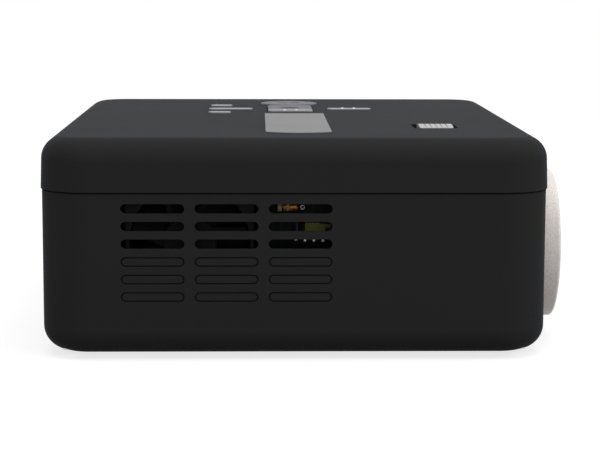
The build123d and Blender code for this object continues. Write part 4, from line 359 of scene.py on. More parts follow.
def speck_group():
    """Small scattered specks of dust, mixed into a colour."""
    group, start, end = new_group(
        "dust_specks", [("Colour", COLOUR, (0.02, 0.02, 0.02, 1)), ("Dust", COLOUR, DUST_COLOUR),
                        ("Scale", NUMBER, SPECK_SCALE), ("Amount", NUMBER, 0.08),
                        ("Share", NUMBER, SPECK_SHARE)],
        "Colour", COLOUR)
    place = group.nodes.new("ShaderNodeTexCoord")
    cells = group.nodes.new("ShaderNodeTexVoronoi")
    link(group, place, "Object", cells, "Vector")
    link(group, start, "Scale", cells, "Scale")
    near = math_node(group, "LESS_THAN")
    link(group, cells, "Distance", near, 0)
    link(group, start, "Amount", near, 1)
    split = group.nodes.new("ShaderNodeSeparateColor")
    link(group, cells, "Color", split, "Color")
    chosen = math_node(group, "LESS_THAN")
    link(group, split, "Red", chosen, 0)
    link(group, start, "Share", chosen, 1)
    mask = math_node(group, "MULTIPLY")
    link(group, near, "Value", mask, 0)
    link(group, chosen, "Value", mask, 1)
    mix = group.nodes.new("ShaderNodeMix")
    mix.data_type = "RGBA"
    link(group, mask, "Value", mix, MIX_FACTOR)
    link(group, start, "Colour", mix, MIX_FIRST)
    link(group, start, "Dust", mix, MIX_SECOND)
    link(group, mix, MIX_RESULT, end, "Colour")
    return group


dust_specks = speck_group()
print("share of cells with a speck:", SPECK_SHARE)

# %% [markdown]
# Silver lacquer holds metal flakes that lie at slightly different angles, so it sparkles when
# seen from close by. One could tilt each flake's normal. A plain mottling of the colour looks
# the same at this distance and gives less noise in the render.

# %% Metal flakes
FLAKE_SCALE = 1500.0


def flake_group():
    """The mottled sparkle of silver lacquer, as a colour."""
    group, start, end = new_group(
        "metal_flakes", [("Colour", COLOUR, (0.5, 0.5, 0.5, 1)), ("Depth", NUMBER, 0.2),
                         ("Scale", NUMBER, FLAKE_SCALE)],
        "Colour", COLOUR)
    noise = group_noise(group, start, detail=4.0, roughness=0.7)
    swing = group.nodes.new("ShaderNodeMapRange")
    set_inputs(swing, {"From Min": NOISE_LOW, "From Max": NOISE_HIGH, "To Min": -1.0})
    link(group, noise, "Fac", swing, "Value")
    factor = math_node(group, "MULTIPLY_ADD")
    factor.inputs[2].default_value = 1.0
    link(group, swing, "Result", factor, 0)
    link(group, start, "Depth", factor, 1)
    scaled = group.nodes.new("ShaderNodeVectorMath")
    scaled.operation = "SCALE"
    link(group, start, "Colour", scaled, "Vector")
    link(group, factor, "Value", scaled, "Scale")
    link(group, scaled, "Vector", end, "Colour")
    return group


metal_flakes = flake_group()
print("groups:", [group.name for group in bpy.data.node_groups])

# %% [markdown]
# Most finishes here are one Principled shader with the shared effects around it. A helper
# puts the groups into a material and sets how strong each effect is, so every finish can be
# read as one short call: its colour, its gloss, its metal, and how coarse its grain is.

# %% A finish from the shared effects


def place_group(tree, group, **values):
    """A group placed in a material with its own values."""
    node = tree.nodes.new("ShaderNodeGroup")
    node.node_tree = group
    set_inputs(node, values)
    return node


def finish(name, colour, roughness, metallic=0.0, specular=0.5, grain=0.1,
           grain_scale=GRAIN_SCALE, spread=0.1, dust=0.0, dust_scale=SPECK_SCALE,
           dust_colour=DUST_COLOUR, dust_share=SPECK_SHARE, sheen=0.0, sheen_tint=WHITE,
           flakes=0.0):
    """A material with grain, handling marks, flakes and dust on one Principled shader."""
    material, tree, shader = new_material(name, {
        "Base Color": (*colour, 1), "Metallic": metallic, "Specular IOR Level": specular,
        "Sheen Weight": sheen, "Sheen Tint": sheen_tint})
    marks = place_group(tree, handling_marks, Roughness=roughness, Spread=spread)
    link(tree, marks, "Roughness", shader, "Roughness")
    if grain > 0:
        texture = place_group(tree, fine_grain, Scale=grain_scale, Depth=grain)
        link(tree, texture, "Normal", shader, "Normal")
    if dust > 0:
        specks = place_group(tree, dust_specks, Colour=(*colour, 1), Dust=dust_colour,
                             Scale=dust_scale, Amount=dust, Share=dust_share)
        link(tree, specks, "Colour", shader, "Base Color")
    if flakes > 0:
        sparkle = place_group(tree, metal_flakes, Colour=(*colour, 1), Depth=flakes,
                              Scale=grain_scale)
        link(tree, sparkle, "Colour", shader, "Base Color")
    return material


def dress(names, material):
    """Give one finish to several pieces."""
    for name in names.split():
        nodes[name].data.materials.clear()
        nodes[name].data.materials.append(material)
    print(material.name, "on", names)


print("effects that a finish can use:", len(bpy.data.node_groups))

# %% [markdown]
# The casing has the soft-touch black of such projectors: a rubbery lacquer that scatters
# light widely. Seen square on it is nearly black, and at a grazing angle, as on the lid, it
# turns to a bluish grey. A brighter base colour would lift both, so the grey comes from the
# shader's sheen, which shows most at grazing angles. A few pale specks of dust sit on it.

# %% Casing and tray front
soft_black = finish("soft_touch_black", (0.0262, 0.0260, 0.0259), roughness=0.65, specular=0.012,
                    grain=0.3, grain_scale=2600.0, spread=0.08, dust=0.035, dust_scale=170.0,
                    dust_colour=(0.14, 0.14, 0.135, 1), dust_share=0.1, sheen=0.022,
                    sheen_tint=(0.4, 0.6, 1.0, 1))
dress("lower_shell upper_shell tray_bezel", soft_black)

# %% [markdown]
# The ribs that cradle the fan and the screw posts in the corners reach down into the rounded
# lower edge of the casing, and their lowest corners would stand out of it as small lugs. They
# could be cut off by a boolean, but that makes new faces along the whole edge. So the lower
# half is drawn from a copy of its own mesh, in which each point that stands outside the
# rounding is moved back onto it, and the copy stands for the piece.

# %% Lower half with a clean rounded edge
CORNER_RADIUS = 19.5 * MM         # of the casing seen from above
EDGE_RADIUS = 9.5 * MM            # of its lower edge
EDGE_TOLERANCE = 0.03 * MM


def draw_in(place):
    """The nearest place on the rounded lower edge for a point that stands out of it."""
    half_length = (shell_high.x - shell_low.x) / 2
    half_width = (shell_high.y - shell_low.y) / 2
    along = place.x - casing_middle.x
    across = place.y - casing_middle.y
    off_x = max(abs(along) - (half_length - CORNER_RADIUS), 0.0)
    off_y = max(abs(across) - (half_width - CORNER_RADIUS), 0.0)
    reach = math.hypot(off_x, off_y)
    past = reach - (CORNER_RADIUS - EDGE_RADIUS)
    drop = shell_low.z + EDGE_RADIUS - place.z
    if past <= 0 or drop <= 0 or math.hypot(past, drop) <= EDGE_RADIUS + EDGE_TOLERANCE:
        return None
    shrink = EDGE_RADIUS / math.hypot(past, drop)
    scale = 1 - (CORNER_RADIUS - EDGE_RADIUS + past * shrink) / reach
    return Vector((place.x - math.copysign(off_x * scale, along),
                   place.y - math.copysign(off_y * scale, across),
                   shell_low.z + EDGE_RADIUS - drop * shrink))


def clean_edged_shell():
    """The lower half with nothing standing out of its edge; returns how many points moved."""
    mesh = nodes["lower_shell"].data.copy()
    moved = 0
    for point in mesh.vertices:
        home = draw_in(point.co)
        if home:
            point.co = home
            moved += 1
    piece = bpy.data.objects.new("lower_casing", mesh)
    scene.collection.objects.link(piece)
    shade(piece)
    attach(piece, "casing")
    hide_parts("lower_shell")
    return moved


print("points drawn in:", clean_edged_shell())

# %% [markdown]
# The lens ring and the focus knob are plastic under a silver lacquer: part metal flakes, part
# clear binder. Pure metal would only mirror the room, and plain grey paint wouldn't shine. The
# ring is mostly binder, so it shows the light that falls on it, bright on top and dim below.
# The knob is mostly metal, and both are mottled by the flakes.

# %% Silver lacquer
ring_lacquer = finish("ring_lacquer", (0.87, 0.81, 0.775), roughness=0.45, metallic=0.04,
                      specular=0.4, grain=0.5, grain_scale=1300.0, spread=0.14, flakes=0.17)
dress("lens_ring", ring_lacquer)
knob_silver = finish("knob_silver", (0.43, 0.43, 0.43), roughness=0.4, metallic=0.9, grain=0.2,
                     grain_scale=1800.0, spread=0.1, flakes=0.08)
dress("focus_lever", knob_silver)

# %% [markdown]
# The badge plate is brushed along its length, so its grain is stretched. A picture of brushed
# metal could be laid over it. Noise does it without a file: it is sampled with coordinates
# that are squeezed in one direction, which draws fine lines along the plate.

# %% Badge plate
BRUSH_DEPTH = 0.25


def brushed(name, colour, roughness, lines):
    """Metal with fine parallel lines; lines is the noise scale along X, Y and Z."""
    material = finish(name, colour, roughness, metallic=1.0, grain=0.0, spread=0.08)
    tree = material.node_tree
    place = tree.nodes.new("ShaderNodeTexCoord")
    squeeze = tree.nodes.new("ShaderNodeMapping")
    set_inputs(squeeze, {"Scale": lines})
    noise = tree.nodes.new("ShaderNodeTexNoise")
    set_inputs(noise, {"Scale": 1.0, "Detail": 2.0})
    bump = tree.nodes.new("ShaderNodeBump")
    set_inputs(bump, {"Strength": BRUSH_DEPTH, "Distance": GRAIN_HEIGHT})
    link(tree, place, "Object", squeeze, "Vector")
    link(tree, squeeze, "Vector", noise, "Vector")
    link(tree, noise, "Fac", bump, "Height")
    link(tree, bump, "Normal", tree.nodes["Principled BSDF"], "Normal")
    return material


dress("nameplate", brushed("badge_plate", (0.142, 0.142, 0.145), roughness=0.45,
                           lines=(3000, 60, 3000)))

# %% [markdown]
# The keys are moulded in silver-grey plastic with a satin top. There are three tones: the
# small keys, the lower key of the pad with a little less metal, and a darker copy of that grey
# for the round key and the upper key of the pad, which is painted shade.

# %% Keys
KEY_NAMES = [name for name in nodes if name.endswith("_key")]
KEY_COLOUR = (0.235, 0.235, 0.262)
PAD_COLOUR = (0.242, 0.240, 0.265)
# a darker copy of the key grey: painted shade, also under the middle key's hollow
SHADED_KEY_COLOUR = (0.142, 0.141, 0.158)

dress(" ".join(KEY_NAMES), finish("key_satin", KEY_COLOUR, roughness=0.38, metallic=0.55,
                                  grain=0.15, spread=0.1, flakes=0.06))
dress("down_key", finish("pad_satin", PAD_COLOUR, roughness=0.45, metallic=0.15, specular=0.05,
                         grain=0.15, spread=0.1, flakes=0.06))
# these two keys get the painted shade tone
dress("power_key up_key", finish("key_satin_painted_shade", SHADED_KEY_COLOUR, roughness=0.45, specular=0.03,
                                 grain=0.15, flakes=0.05))

# %% [markdown]
# The middle key is hollowed for a fingertip, and the shade in its hollow is painted into the
# colour. A texture painted by hand could show that, but a formula stays smooth at any size: it
# measures how far each point of the surface is from the key's middle, and fades from the
# painted shade to the key's darker grey, which is painted shade as well.

# %% Painted shade in the middle key's hollow
# painted shade in the middle key's hollow
HOLLOW_SHADE_COLOUR = (0.055, 0.056, 0.066, 1)
HOLLOW_RADIUS = 6.5 * MM
HOLLOW_CORE = 0.5                 # the share of the radius that is fully dark


def painted_hollow_shade(name, middle):
    """The painted-shade key finish, with a still darker painted shade in a soft patch round a
    point.
    """
    material = finish(name, SHADED_KEY_COLOUR, roughness=0.45, specular=0.03, grain=0.15)
    tree = material.node_tree
    place = tree.nodes.new("ShaderNodeTexCoord")
    reach = tree.nodes.new("ShaderNodeVectorMath")
    reach.operation = "DISTANCE"
    reach.inputs[1].default_value = middle
    fade = tree.nodes.new("ShaderNodeMapRange")
    fade.interpolation_type = "SMOOTHSTEP"
    set_inputs(fade, {"From Min": HOLLOW_RADIUS * HOLLOW_CORE, "From Max": HOLLOW_RADIUS})
    mix = tree.nodes.new("ShaderNodeMix")
    mix.data_type = "RGBA"
    set_inputs(mix, {MIX_FIRST: HOLLOW_SHADE_COLOUR, MIX_SECOND: (*SHADED_KEY_COLOUR, 1)})
    link(tree, place, "Object", reach, 0)
    link(tree, reach, "Value", fade, "Value")
    link(tree, fade, "Result", mix, MIX_FACTOR)
    link(tree, mix, MIX_RESULT, tree.nodes["Principled BSDF"], "Base Color")
    return material


ok_low, ok_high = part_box("ok_key")
key_top = ok_high.z
ok_middle = Vector(((ok_low.x + ok_high.x) / 2, (ok_low.y + ok_high.y) / 2, key_top))
dress("ok_key", painted_hollow_shade("key_hollow_painted_shade", ok_middle))

# %% [markdown]
# The feet and the loader's belt are rubber: dull, dark and a little dusty. A plain black would
# look like paint, so the grain is coarse and deep here, and the specks are close together.

# %% Rubber
rubber = finish("dull_rubber", (0.014, 0.014, 0.014), roughness=0.82, specular=0.25, grain=0.6,
                grain_scale=900.0, dust=0.06, dust_scale=500.0)
dress("rubber_feet drive_belt", rubber)

# %% [markdown]
# Inside the lens everything is dull black, so that no stray light reaches the picture. What
# stands behind the inlet slots has hardly any gloss at all, because even a faint highlight
# there would show as a grey shape in a dark opening.

# %% Black optics
optics_black = finish("optics_black", (0.012, 0.012, 0.013), roughness=0.6, specular=0.3,
                      grain=0.3)
dress("lens_barrel lcd_panel speaker disc_tray turntable optical_pickup av_jack ac_inlet",
      optics_black)
deep_black = finish("deep_black", (0.014, 0.014, 0.0145), roughness=0.75, specular=0.03,
                    grain=0.2)
dress("lens_sleeve optics_housing optics_cover fan_frame fan_rotor", deep_black)

# %% [markdown]
# The lenses are clear glass with a thin coat against reflections, which gives them a faint
# violet tint. Real coats work by interference in layers. The shader's own coat with a tint
# shows the same colour, and it is much simpler to set.

# %% Coated glass
GLASS_IOR = 1.52
COAT_ROUGHNESS = 0.02


def coated_glass(name, tint, coat_tint):
    """Clear glass with a coloured anti-reflection coat."""
    material, tree, shader = new_material(name, {
        "Base Color": tint, "Transmission Weight": 1.0, "IOR": GLASS_IOR, "Coat Weight": 1.0,
        "Coat Roughness": COAT_ROUGHNESS, "Coat Tint": coat_tint})
    marks = place_group(tree, handling_marks, Roughness=0.03, Spread=0.04, Scale=60.0)
    link(tree, marks, "Roughness", shader, "Roughness")
    return material


dress("projection_lenses condenser_lens fresnel_lenses pickup_lens",
      coated_glass("coated_glass", tint=(0.80, 0.82, 0.88, 1), coat_tint=(0.74, 0.70, 0.96, 1)))

# %% [markdown]
# Screws, rods, motor cans and socket shells are bright steel, and the lamp sits on a block of
# aluminium. All have fine lines from the tool that made them, so they share the helper of the
# badge plate. The gears are cream plastic, which wears well without oil, and the loader's
# frame is a plain grey one.

# %% Metals and inner plastics
dress("case_screws loader_screws guide_rods lead_screw loader_motor spindle_motor sled_motor "
      "hdmi_socket usb_socket",
      brushed("bright_steel", (0.56, 0.56, 0.57), roughness=0.3, lines=(400, 400, 4000)))
dress("led_module",
      brushed("sink_aluminium", (0.72, 0.72, 0.73), roughness=0.4, lines=(60, 3000, 3000)))
dress("heat_sink",
      finish("anodised_black", (0.004, 0.004, 0.0045), roughness=0.6, specular=0.05, grain=0.3))
dress("tripod_insert",
      finish("insert_brass", (0.68, 0.48, 0.2), roughness=0.35, metallic=1.0, grain=0.1))
dress("drive_gear pulley_gear motor_pulley clamp_puck",
      finish("gear_plastic", (0.72, 0.71, 0.66), roughness=0.42, grain=0.1, dust=0.04))
dress("loader_chassis deck_frame clamp_bridge",
      finish("loader_plastic", (0.22, 0.22, 0.23), roughness=0.5, grain=0.2))

# %% [markdown]
# A circuit board is green lacquer over copper, and the green is lighter where copper runs
# under it. Modelled tracks would be thousands of faces for something this thin. The joints of
# a Brick texture run over the board as thin crossing lines, and read as tracks at this size.
# The lamp driver's board is seen in the dark behind the slots, so its lacquer and tracks are
# painted nearly black, as painted shade.

# %% Circuit boards
TRACK_SCALE = 160.0
TRACK_WIDTH = 0.09


def circuit_board(name, lacquer, track, specular=0.5):
    """Solder mask with lighter tracks under it."""
    material = finish(name, lacquer, roughness=0.35, specular=specular, grain=0.05)
    tree = material.node_tree
    place = tree.nodes.new("ShaderNodeTexCoord")
    bricks = tree.nodes.new("ShaderNodeTexBrick")
    set_inputs(bricks, {"Scale": TRACK_SCALE, "Mortar Size": TRACK_WIDTH, "Mortar": (*track, 1),
                        "Color1": (*lacquer, 1), "Color2": (*lacquer, 1)})
    link(tree, place, "Object", bricks, "Vector")
    link(tree, bricks, "Color", tree.nodes["Principled BSDF"], "Base Color")
    return material


dress("main_board power_board key_board",
      circuit_board("board_lacquer", lacquer=(0.012, 0.09, 0.03), track=(0.05, 0.22, 0.07)))
# the driver board's near-black lacquer and tracks are painted shade
dress("driver_board",
      circuit_board("board_painted_shade", lacquer=(0.014, 0.022, 0.017), track=(0.021, 0.034, 0.024),
                    specular=0.05))
dress("main_board_parts power_board_parts",
      finish("component_black", (0.02, 0.02, 0.022), roughness=0.4, grain=0.2))

# %% [markdown]
# Through the third column of the air inlet one sees the lamp driver: a choke wound with
# copper, a small transformer in yellow-green tape, a wire and a row of tinned pins. Plain
# blocks would not catch the light like that, so each component is built from its real parts.
# They are placed from the board's own box, so they stay on it, and each piece is told which
# body carries it.

# %% Pieces on the driver board
board_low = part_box("driver_board")[0]


def on_board(along, rise, out):
    """A place on the driver board in mm: along X, up Z, and out towards the air inlet."""
    return Vector((board_low.x + along * MM, board_low.y - out * MM, board_low.z + rise * MM))


def new_piece(name, work, materials, body="casing"):
    """A mesh object on a body, from a bmesh and its materials."""
    bmesh.ops.recalc_face_normals(work, faces=work.faces)
    mesh = bpy.data.meshes.new(name)
    work.to_mesh(mesh)
    work.free()
    for material in materials:
        mesh.materials.append(material)
    piece = bpy.data.objects.new(name, mesh)
    scene.collection.objects.link(piece)
    shade(piece)
    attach(piece, body)
    return piece


print("driver board's lower corner in mm:", [round(v / MM, 1) for v in board_low])

# %% [markdown]
# Most components are blocks with rounded edges, since moulded and taped parts never have a
# knife edge. A Bevel modifier would round them too. Here the bevel is made straight away in
# the bmesh, so that many small forms can share one mesh without a modifier for each.

# %% A rounded block
BEVEL_STEPS = 2


def rounded_block(work, low, high, edge, material_index=0):
    """A block with rounded edges between two corners, added to a bmesh; edge in mm."""
    faces_before = set(work.faces)
    middle = (low + high) / 2
    size = high - low
    fit = Matrix.Diagonal((abs(size.x), abs(size.y), abs(size.z), 1))
    made = bmesh.ops.create_cube(work, size=1.0, matrix=Matrix.Translation(middle) @ fit)
    edges = list({e for v in made["verts"] for e in v.link_edges})
    bmesh.ops.bevel(work, geom=edges, offset=edge * MM, segments=BEVEL_STEPS, affect="EDGES",
                    profile=0.5)
    for face in set(work.faces) - faces_before:
        face.material_index = material_index


print("steps in each rounded edge:", BEVEL_STEPS)

# %% [markdown]
# Cans, drums and bands are turned forms: a profile that goes round an axis. Blender's Spin
# tool does this too. Two small helpers are enough here, one for a ring of points and one for
# the skin between rings, and the tube in the next cell uses them again.

# %% Turned forms
TURNED_STEPS = 24


def add_ring(work, middle, side, lift, radius, steps):
    """A ring of points round a middle, across two directions; radius in mm."""
    angles = (2 * math.pi * step / steps for step in range(steps))
    return [work.verts.new(middle + (side * math.cos(a) + lift * math.sin(a)) * radius * MM)
            for a in angles]


def add_skin(work, rings, material_index, loop=False):
    """Faces from ring to ring; both ends are closed, or joined in a loop."""
    faces = [] if loop else [work.faces.new(rings[0]), work.faces.new(rings[-1])]
    followers = rings[1:] + rings[:1] if loop else rings[1:]
    for ring, following in zip(rings, followers):
        for step in range(len(ring)):
            after = (step + 1) % len(ring)
            corners = (ring[step], ring[after], following[after], following[step])
            faces.append(work.faces.new(corners))
    for face in faces:
        face.material_index = material_index


def turned(work, base, axis, profile, material_index=0, steps=TURNED_STEPS):
    """A turned solid: profile holds (distance along the axis, radius) in mm."""
    side = axis.orthogonal().normalized()
    lift = axis.cross(side)
    rings = [add_ring(work, base + axis * along * MM, side, lift, radius, steps)
             for along, radius in profile]
    add_skin(work, rings, material_index)


print("steps round a turned form:", TURNED_STEPS)

# %% [markdown]
# Wires, pins and leads are thin round forms along a line. A curve with a bevel would do, but
# it is an object of its own, and these have to join the bmesh of their component. The helper
# carries a small circle along the points and turns it as little as it can from one point to
# the next, so that the tube doesn't twist.

# %% A tube along points
TUBE_SIDES = 8


def tube(work, path, radius, material_index=0, sides=TUBE_SIDES, loop=False):
    """A round wire of a radius in mm along points, added to a bmesh."""
    rings = []
    side = None
    for at, point in enumerate(path):
        before = path[at - 1] if at or loop else point
        after = path[(at + 1) % len(path)] if at + 1 < len(path) or loop else point
        ahead = (after - before).normalized()
        side = ahead.orthogonal() if side is None else side - ahead * side.dot(ahead)
        side.normalize()
        rings.append(add_ring(work, point, side, ahead.cross(side), radius, sides))
    add_skin(work, rings, material_index, loop)


def lead(work, top, radius, material_index=0):
    """A stiff straight lead from a point down to the board."""
    foot = Vector((top.x, board_low.y, top.z))
    tube(work, [top, (top + foot) / 2, foot], radius, material_index)


print("sides of a tube:", TUBE_SIDES)

# %% [markdown]
# Two pairs of small raised beads help a finger find the lower and the right key. Their pale
# colour is a painted highlight, which stands in for the light they catch as bright points. A
# bump in the material would not change the key's outline, so each is a real dome, a little
# longer than wide. Each pair rides on its own key and goes down when the key is pressed.

# %% Beads on two keys
BEAD_RADII = Vector((1.0, 1.35, 1.05)) * MM
BEAD_RISE = 0.4 * MM              # above the key's top
BEAD_DEPTH = 0.3 * MM             # below the key's top
BEAD_APART = 5.5 * MM
BEAD_INSET = {"down_key": 1.9 * MM, "right_key": 2.0 * MM}     # from the key's near edge
BEAD_SHIFT = {"down_key": 0.0, "right_key": -0.5 * MM}         # along X, from its middle
BEAD_SEGMENTS, BEAD_RINGS = 20, 12
# the beads' pale colour is a painted highlight
bead_painted_highlight = finish("bead_painted_highlight", (0.72, 0.72, 0.75), roughness=0.3, metallic=0.1,
                     specular=0.3, grain=0.05)


def key_beads(key):
    """Two domes near the near edge of a key."""
    key_low, key_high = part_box(key)
    middle = Vector(((key_low.x + key_high.x) / 2 + BEAD_SHIFT[key], key_low.y + BEAD_INSET[key],
                     key_top + BEAD_RISE - BEAD_RADII.z))
    work = bmesh.new()
    for side in (-0.5, 0.5):
        place = middle + Vector((side * BEAD_APART, 0, 0))
        fit = Matrix.Translation(place) @ Matrix.Diagonal((*BEAD_RADII, 1))
        bmesh.ops.create_uvsphere(work, u_segments=BEAD_SEGMENTS, v_segments=BEAD_RINGS,
                                  radius=1.0, matrix=fit)
    hidden = [v for v in work.verts if v.co.z < key_top - BEAD_DEPTH]
    bmesh.ops.delete(work, geom=hidden, context="VERTS")
    bmesh.ops.holes_fill(work, edges=[e for e in work.edges if e.is_boundary])
    new_piece(key + "_beads", work, [bead_painted_highlight], body=key)


for bead_key in BEAD_INSET:
    key_beads(bead_key)
print("key tops at", round(key_top / MM, 1), "mm")

# %% [markdown]
# The components have their own finishes: enamelled copper, cream and yellow-green
# insulation, dark ferrite, tinned metal and blue plastic. They use the same helper as the
# large pieces, and one finish serves all the components that are made of it.

# %% Component finishes
copper_wire = finish("enamelled_copper", (0.80, 0.34, 0.07), roughness=0.3, metallic=0.7,
                     grain=0.1)
cream_tape = finish("cream_insulation", (0.55, 0.42, 0.28), roughness=0.5, grain=0.1)
tape_green = finish("yellow_green_tape", (0.17, 0.165, 0.035), roughness=0.45, specular=0.2,
                    grain=0.1)
ferrite = finish("ferrite", (0.022, 0.012, 0.011), roughness=0.6, specular=0.1, grain=0.4)
tinned = finish("tinned_metal", (0.8, 0.8, 0.78), roughness=0.35, metallic=0.6, grain=0.1)
strip_black = finish("strip_black", (0.02, 0.02, 0.02), roughness=0.6, specular=0.05, grain=0.1)
wire_blue = finish("wire_blue", (0.05, 0.055, 0.16), roughness=0.45, specular=0.2, grain=0.05)
print("materials so far:", len(bpy.data.materials))

# %% [markdown]
# The choke is a small ferrite drum that lies along the board, wound with copper wire. Grooves
# in a cylinder would look like a screw thread. So the winding is one line that circles the
# drum while it moves along it, with the wire's round section carried along that line. Two
# bands of cream tape hold it, one beside the winding and one over it, and the drum stands on
# two stiff leads.

# %% Choke coil
COMPONENT_REACH = 11.0                    # how far the components stand out from the board
CHOKE_LEFT, CHOKE_RIGHT = 5.6, 14.9       # along the board
CHOKE_RISE, CHOKE_OUT = 43.2, 9.3         # middle of the drum
CORE_RADIUS = 1.25
RIM_PROFILE = [(0.0, 1.2), (0.2, 1.5), (0.6, 1.5), (0.7, CORE_RADIUS)]
CHOKE_TURNS = 11
TURN_STEPS = 12
WINDING_MARGINS = (2.6, 0.9)              # bare core left at its two ends
WIRE_RADIUS = 0.24
WIRE_SIDES = 6
TAPE_BANDS = ((0.7, 2.3), (4.1, 5.3))     # from the drum's left end
TAPE_RADIUS, TAPE_EDGE = 1.85, 0.1
LEAD_INSET, LEAD_RADIUS = 0.35, 0.3
ALONG_BOARD = Vector((1, 0, 0))
FERRITE, COPPER, TAPE, TIN = range(4)


def winding_line():
    """The points of the wire round the drum."""
    start = CHOKE_LEFT + WINDING_MARGINS[0]
    length = CHOKE_RIGHT - WINDING_MARGINS[1] - start
    reach = CORE_RADIUS + WIRE_RADIUS
    steps = CHOKE_TURNS * TURN_STEPS
    points = []
    for step in range(steps + 1):
        angle = 2 * math.pi * step / TURN_STEPS
        points.append(on_board(start + length * step / steps,
                               CHOKE_RISE + reach * math.sin(angle),
                               CHOKE_OUT + reach * math.cos(angle)))
    return points


def choke():
    """A wound and taped ferrite drum on two leads."""
    work = bmesh.new()
    length = CHOKE_RIGHT - CHOKE_LEFT
    far_rim = [(length - along, radius) for along, radius in reversed(RIM_PROFILE)]
    turned(work, on_board(CHOKE_LEFT, CHOKE_RISE, CHOKE_OUT), ALONG_BOARD,
           RIM_PROFILE + far_rim, FERRITE)
    tube(work, winding_line(), WIRE_RADIUS, COPPER, sides=WIRE_SIDES)
    for start, end in TAPE_BANDS:
        width = end - start
        turned(work, on_board(CHOKE_LEFT + start, CHOKE_RISE, CHOKE_OUT), ALONG_BOARD,
               [(0.0, TAPE_RADIUS - TAPE_EDGE), (TAPE_EDGE, TAPE_RADIUS),
                (width - TAPE_EDGE, TAPE_RADIUS), (width, TAPE_RADIUS - TAPE_EDGE)], TAPE)
    for along in (CHOKE_LEFT + LEAD_INSET, CHOKE_RIGHT - LEAD_INSET):
        lead(work, on_board(along, CHOKE_RISE, CHOKE_OUT), LEAD_RADIUS, TIN)
    return new_piece("driver_choke", work, [ferrite, copper_wire, cream_tape, tinned])


choke_piece = choke()
print("choke turns:", CHOKE_TURNS, "faces:", len(choke_piece.data.polygons))

# %% [markdown]
# A tinned ring terminal stands beside the choke on its own lead. A torus from Blender's menu
# would be an object to fit and join, and the tube already makes one when its path is a loop.

# %% Ring terminal
RING_GAP = 1.2                    # from the choke's end to the ring's middle
RING_RADIUS, RING_WIRE = 0.75, 0.2
RING_SETBACK = 0.3                # behind the foremost components
RING_STEPS = 20
RING_LEAD = 0.25


def ring_terminal():
    """An open tinned ring on a lead."""
    work = bmesh.new()
    angles = (2 * math.pi * step / RING_STEPS for step in range(RING_STEPS))
    ring = [on_board(CHOKE_RIGHT + RING_GAP + RING_RADIUS * math.cos(a),
                     CHOKE_RISE + RING_RADIUS * math.sin(a), COMPONENT_REACH - RING_SETBACK)
            for a in angles]
    tube(work, ring, RING_WIRE, loop=True)
    lowest = ring[RING_STEPS * 3 // 4]
    lead(work, lowest, RING_LEAD)
    return new_piece("driver_ring_terminal", work, [tinned])


terminal_piece = ring_terminal()
print("ring terminal faces:", len(terminal_piece.data.polygons))

# %% [markdown]
# The transformer is a bobbin wrapped in tape between two dark flanges. A block of its ferrite
# core shows beside the right flange, and a row of pins in cream sleeves bends over its upper
# edge. A picture on the front of one block would do from straight ahead, but it would look
# flat at an angle, so each of these parts is a form of its own in one mesh.

# %% Transformer
BOBBIN_LEFT, BOBBIN_RIGHT = 16.9, 27.6
BOBBIN_LOW, BOBBIN_HIGH = 32.2, 36.8
BOBBIN_BACK, BOBBIN_EDGE = 0.8, 0.7
FLANGE_THICK, FLANGE_EDGE = 0.9, 0.2
FLANGE_BELOW, FLANGE_ABOVE, FLANGE_PAST = 0.6, 0.3, 0.3       # how far it passes the bobbin
CORE_WIDTH, CORE_BACK, CORE_EDGE = 2.6, 1.0, 0.3
CORE_BELOW, CORE_LOWER, CORE_PAST = 0.5, 1.6, 0.2             # its bottom, top and front
SLEEVE_COUNT, SLEEVE_PITCH = 5, 1.15
SLEEVE_INSET, SLEEVE_RADIUS = 0.9, 0.3
SLEEVE_ROUTE = ((0.2, 6.0), (0.2, 9.0), (-0.1, COMPONENT_REACH))     # (above the bobbin, out)
DARK, TAPED, SLEEVED = range(3)


def transformer():
    """A taped bobbin, its flanges, its core and its sleeved pins."""
    work = bmesh.new()
    rounded_block(work, on_board(BOBBIN_LEFT, BOBBIN_LOW, COMPONENT_REACH),
                  on_board(BOBBIN_RIGHT, BOBBIN_HIGH, BOBBIN_BACK), BOBBIN_EDGE, TAPED)
    for along in (BOBBIN_LEFT - FLANGE_THICK, BOBBIN_RIGHT):
        rounded_block(work, on_board(along, BOBBIN_LOW - FLANGE_BELOW,
                                     COMPONENT_REACH + FLANGE_PAST),
                      on_board(along + FLANGE_THICK, BOBBIN_HIGH + FLANGE_ABOVE, 0.0),
                      FLANGE_EDGE, DARK)
    rounded_block(work, on_board(BOBBIN_RIGHT - CORE_WIDTH, BOBBIN_LOW - CORE_BELOW,
                                 COMPONENT_REACH + CORE_PAST),
                  on_board(BOBBIN_RIGHT, BOBBIN_HIGH - CORE_LOWER, CORE_BACK), CORE_EDGE, DARK)
    for count in range(SLEEVE_COUNT):
        along = BOBBIN_LEFT + SLEEVE_INSET + SLEEVE_PITCH * count
        path = [on_board(along, BOBBIN_HIGH + above, out) for above, out in SLEEVE_ROUTE]
        tube(work, path, SLEEVE_RADIUS, SLEEVED)
    return new_piece("driver_transformer", work, [ferrite, tape_green, cream_tape])


transformer_piece = transformer()
print("transformer faces:", len(transformer_piece.data.polygons))

# %% [markdown]
# The capacitor is a round can in a blue sleeve, with the crimp that such cans have near their
# foot. A plain cylinder would miss the crimp and the rounded top, and a turned profile of a
# few points has both.

# %% Capacitor
CAN_ALONG, CAN_RISE = 44.0, 12.0
CAN_PROFILE = [(0.0, 6.3), (1.4, 6.3), (2.0, 5.9), (2.6, 6.3), (12.6, 6.3), (13.6, 5.9),
               (14.0, 4.9)]
CAN_STEPS = 32
OUT_FROM_BOARD = Vector((0, -1, 0))


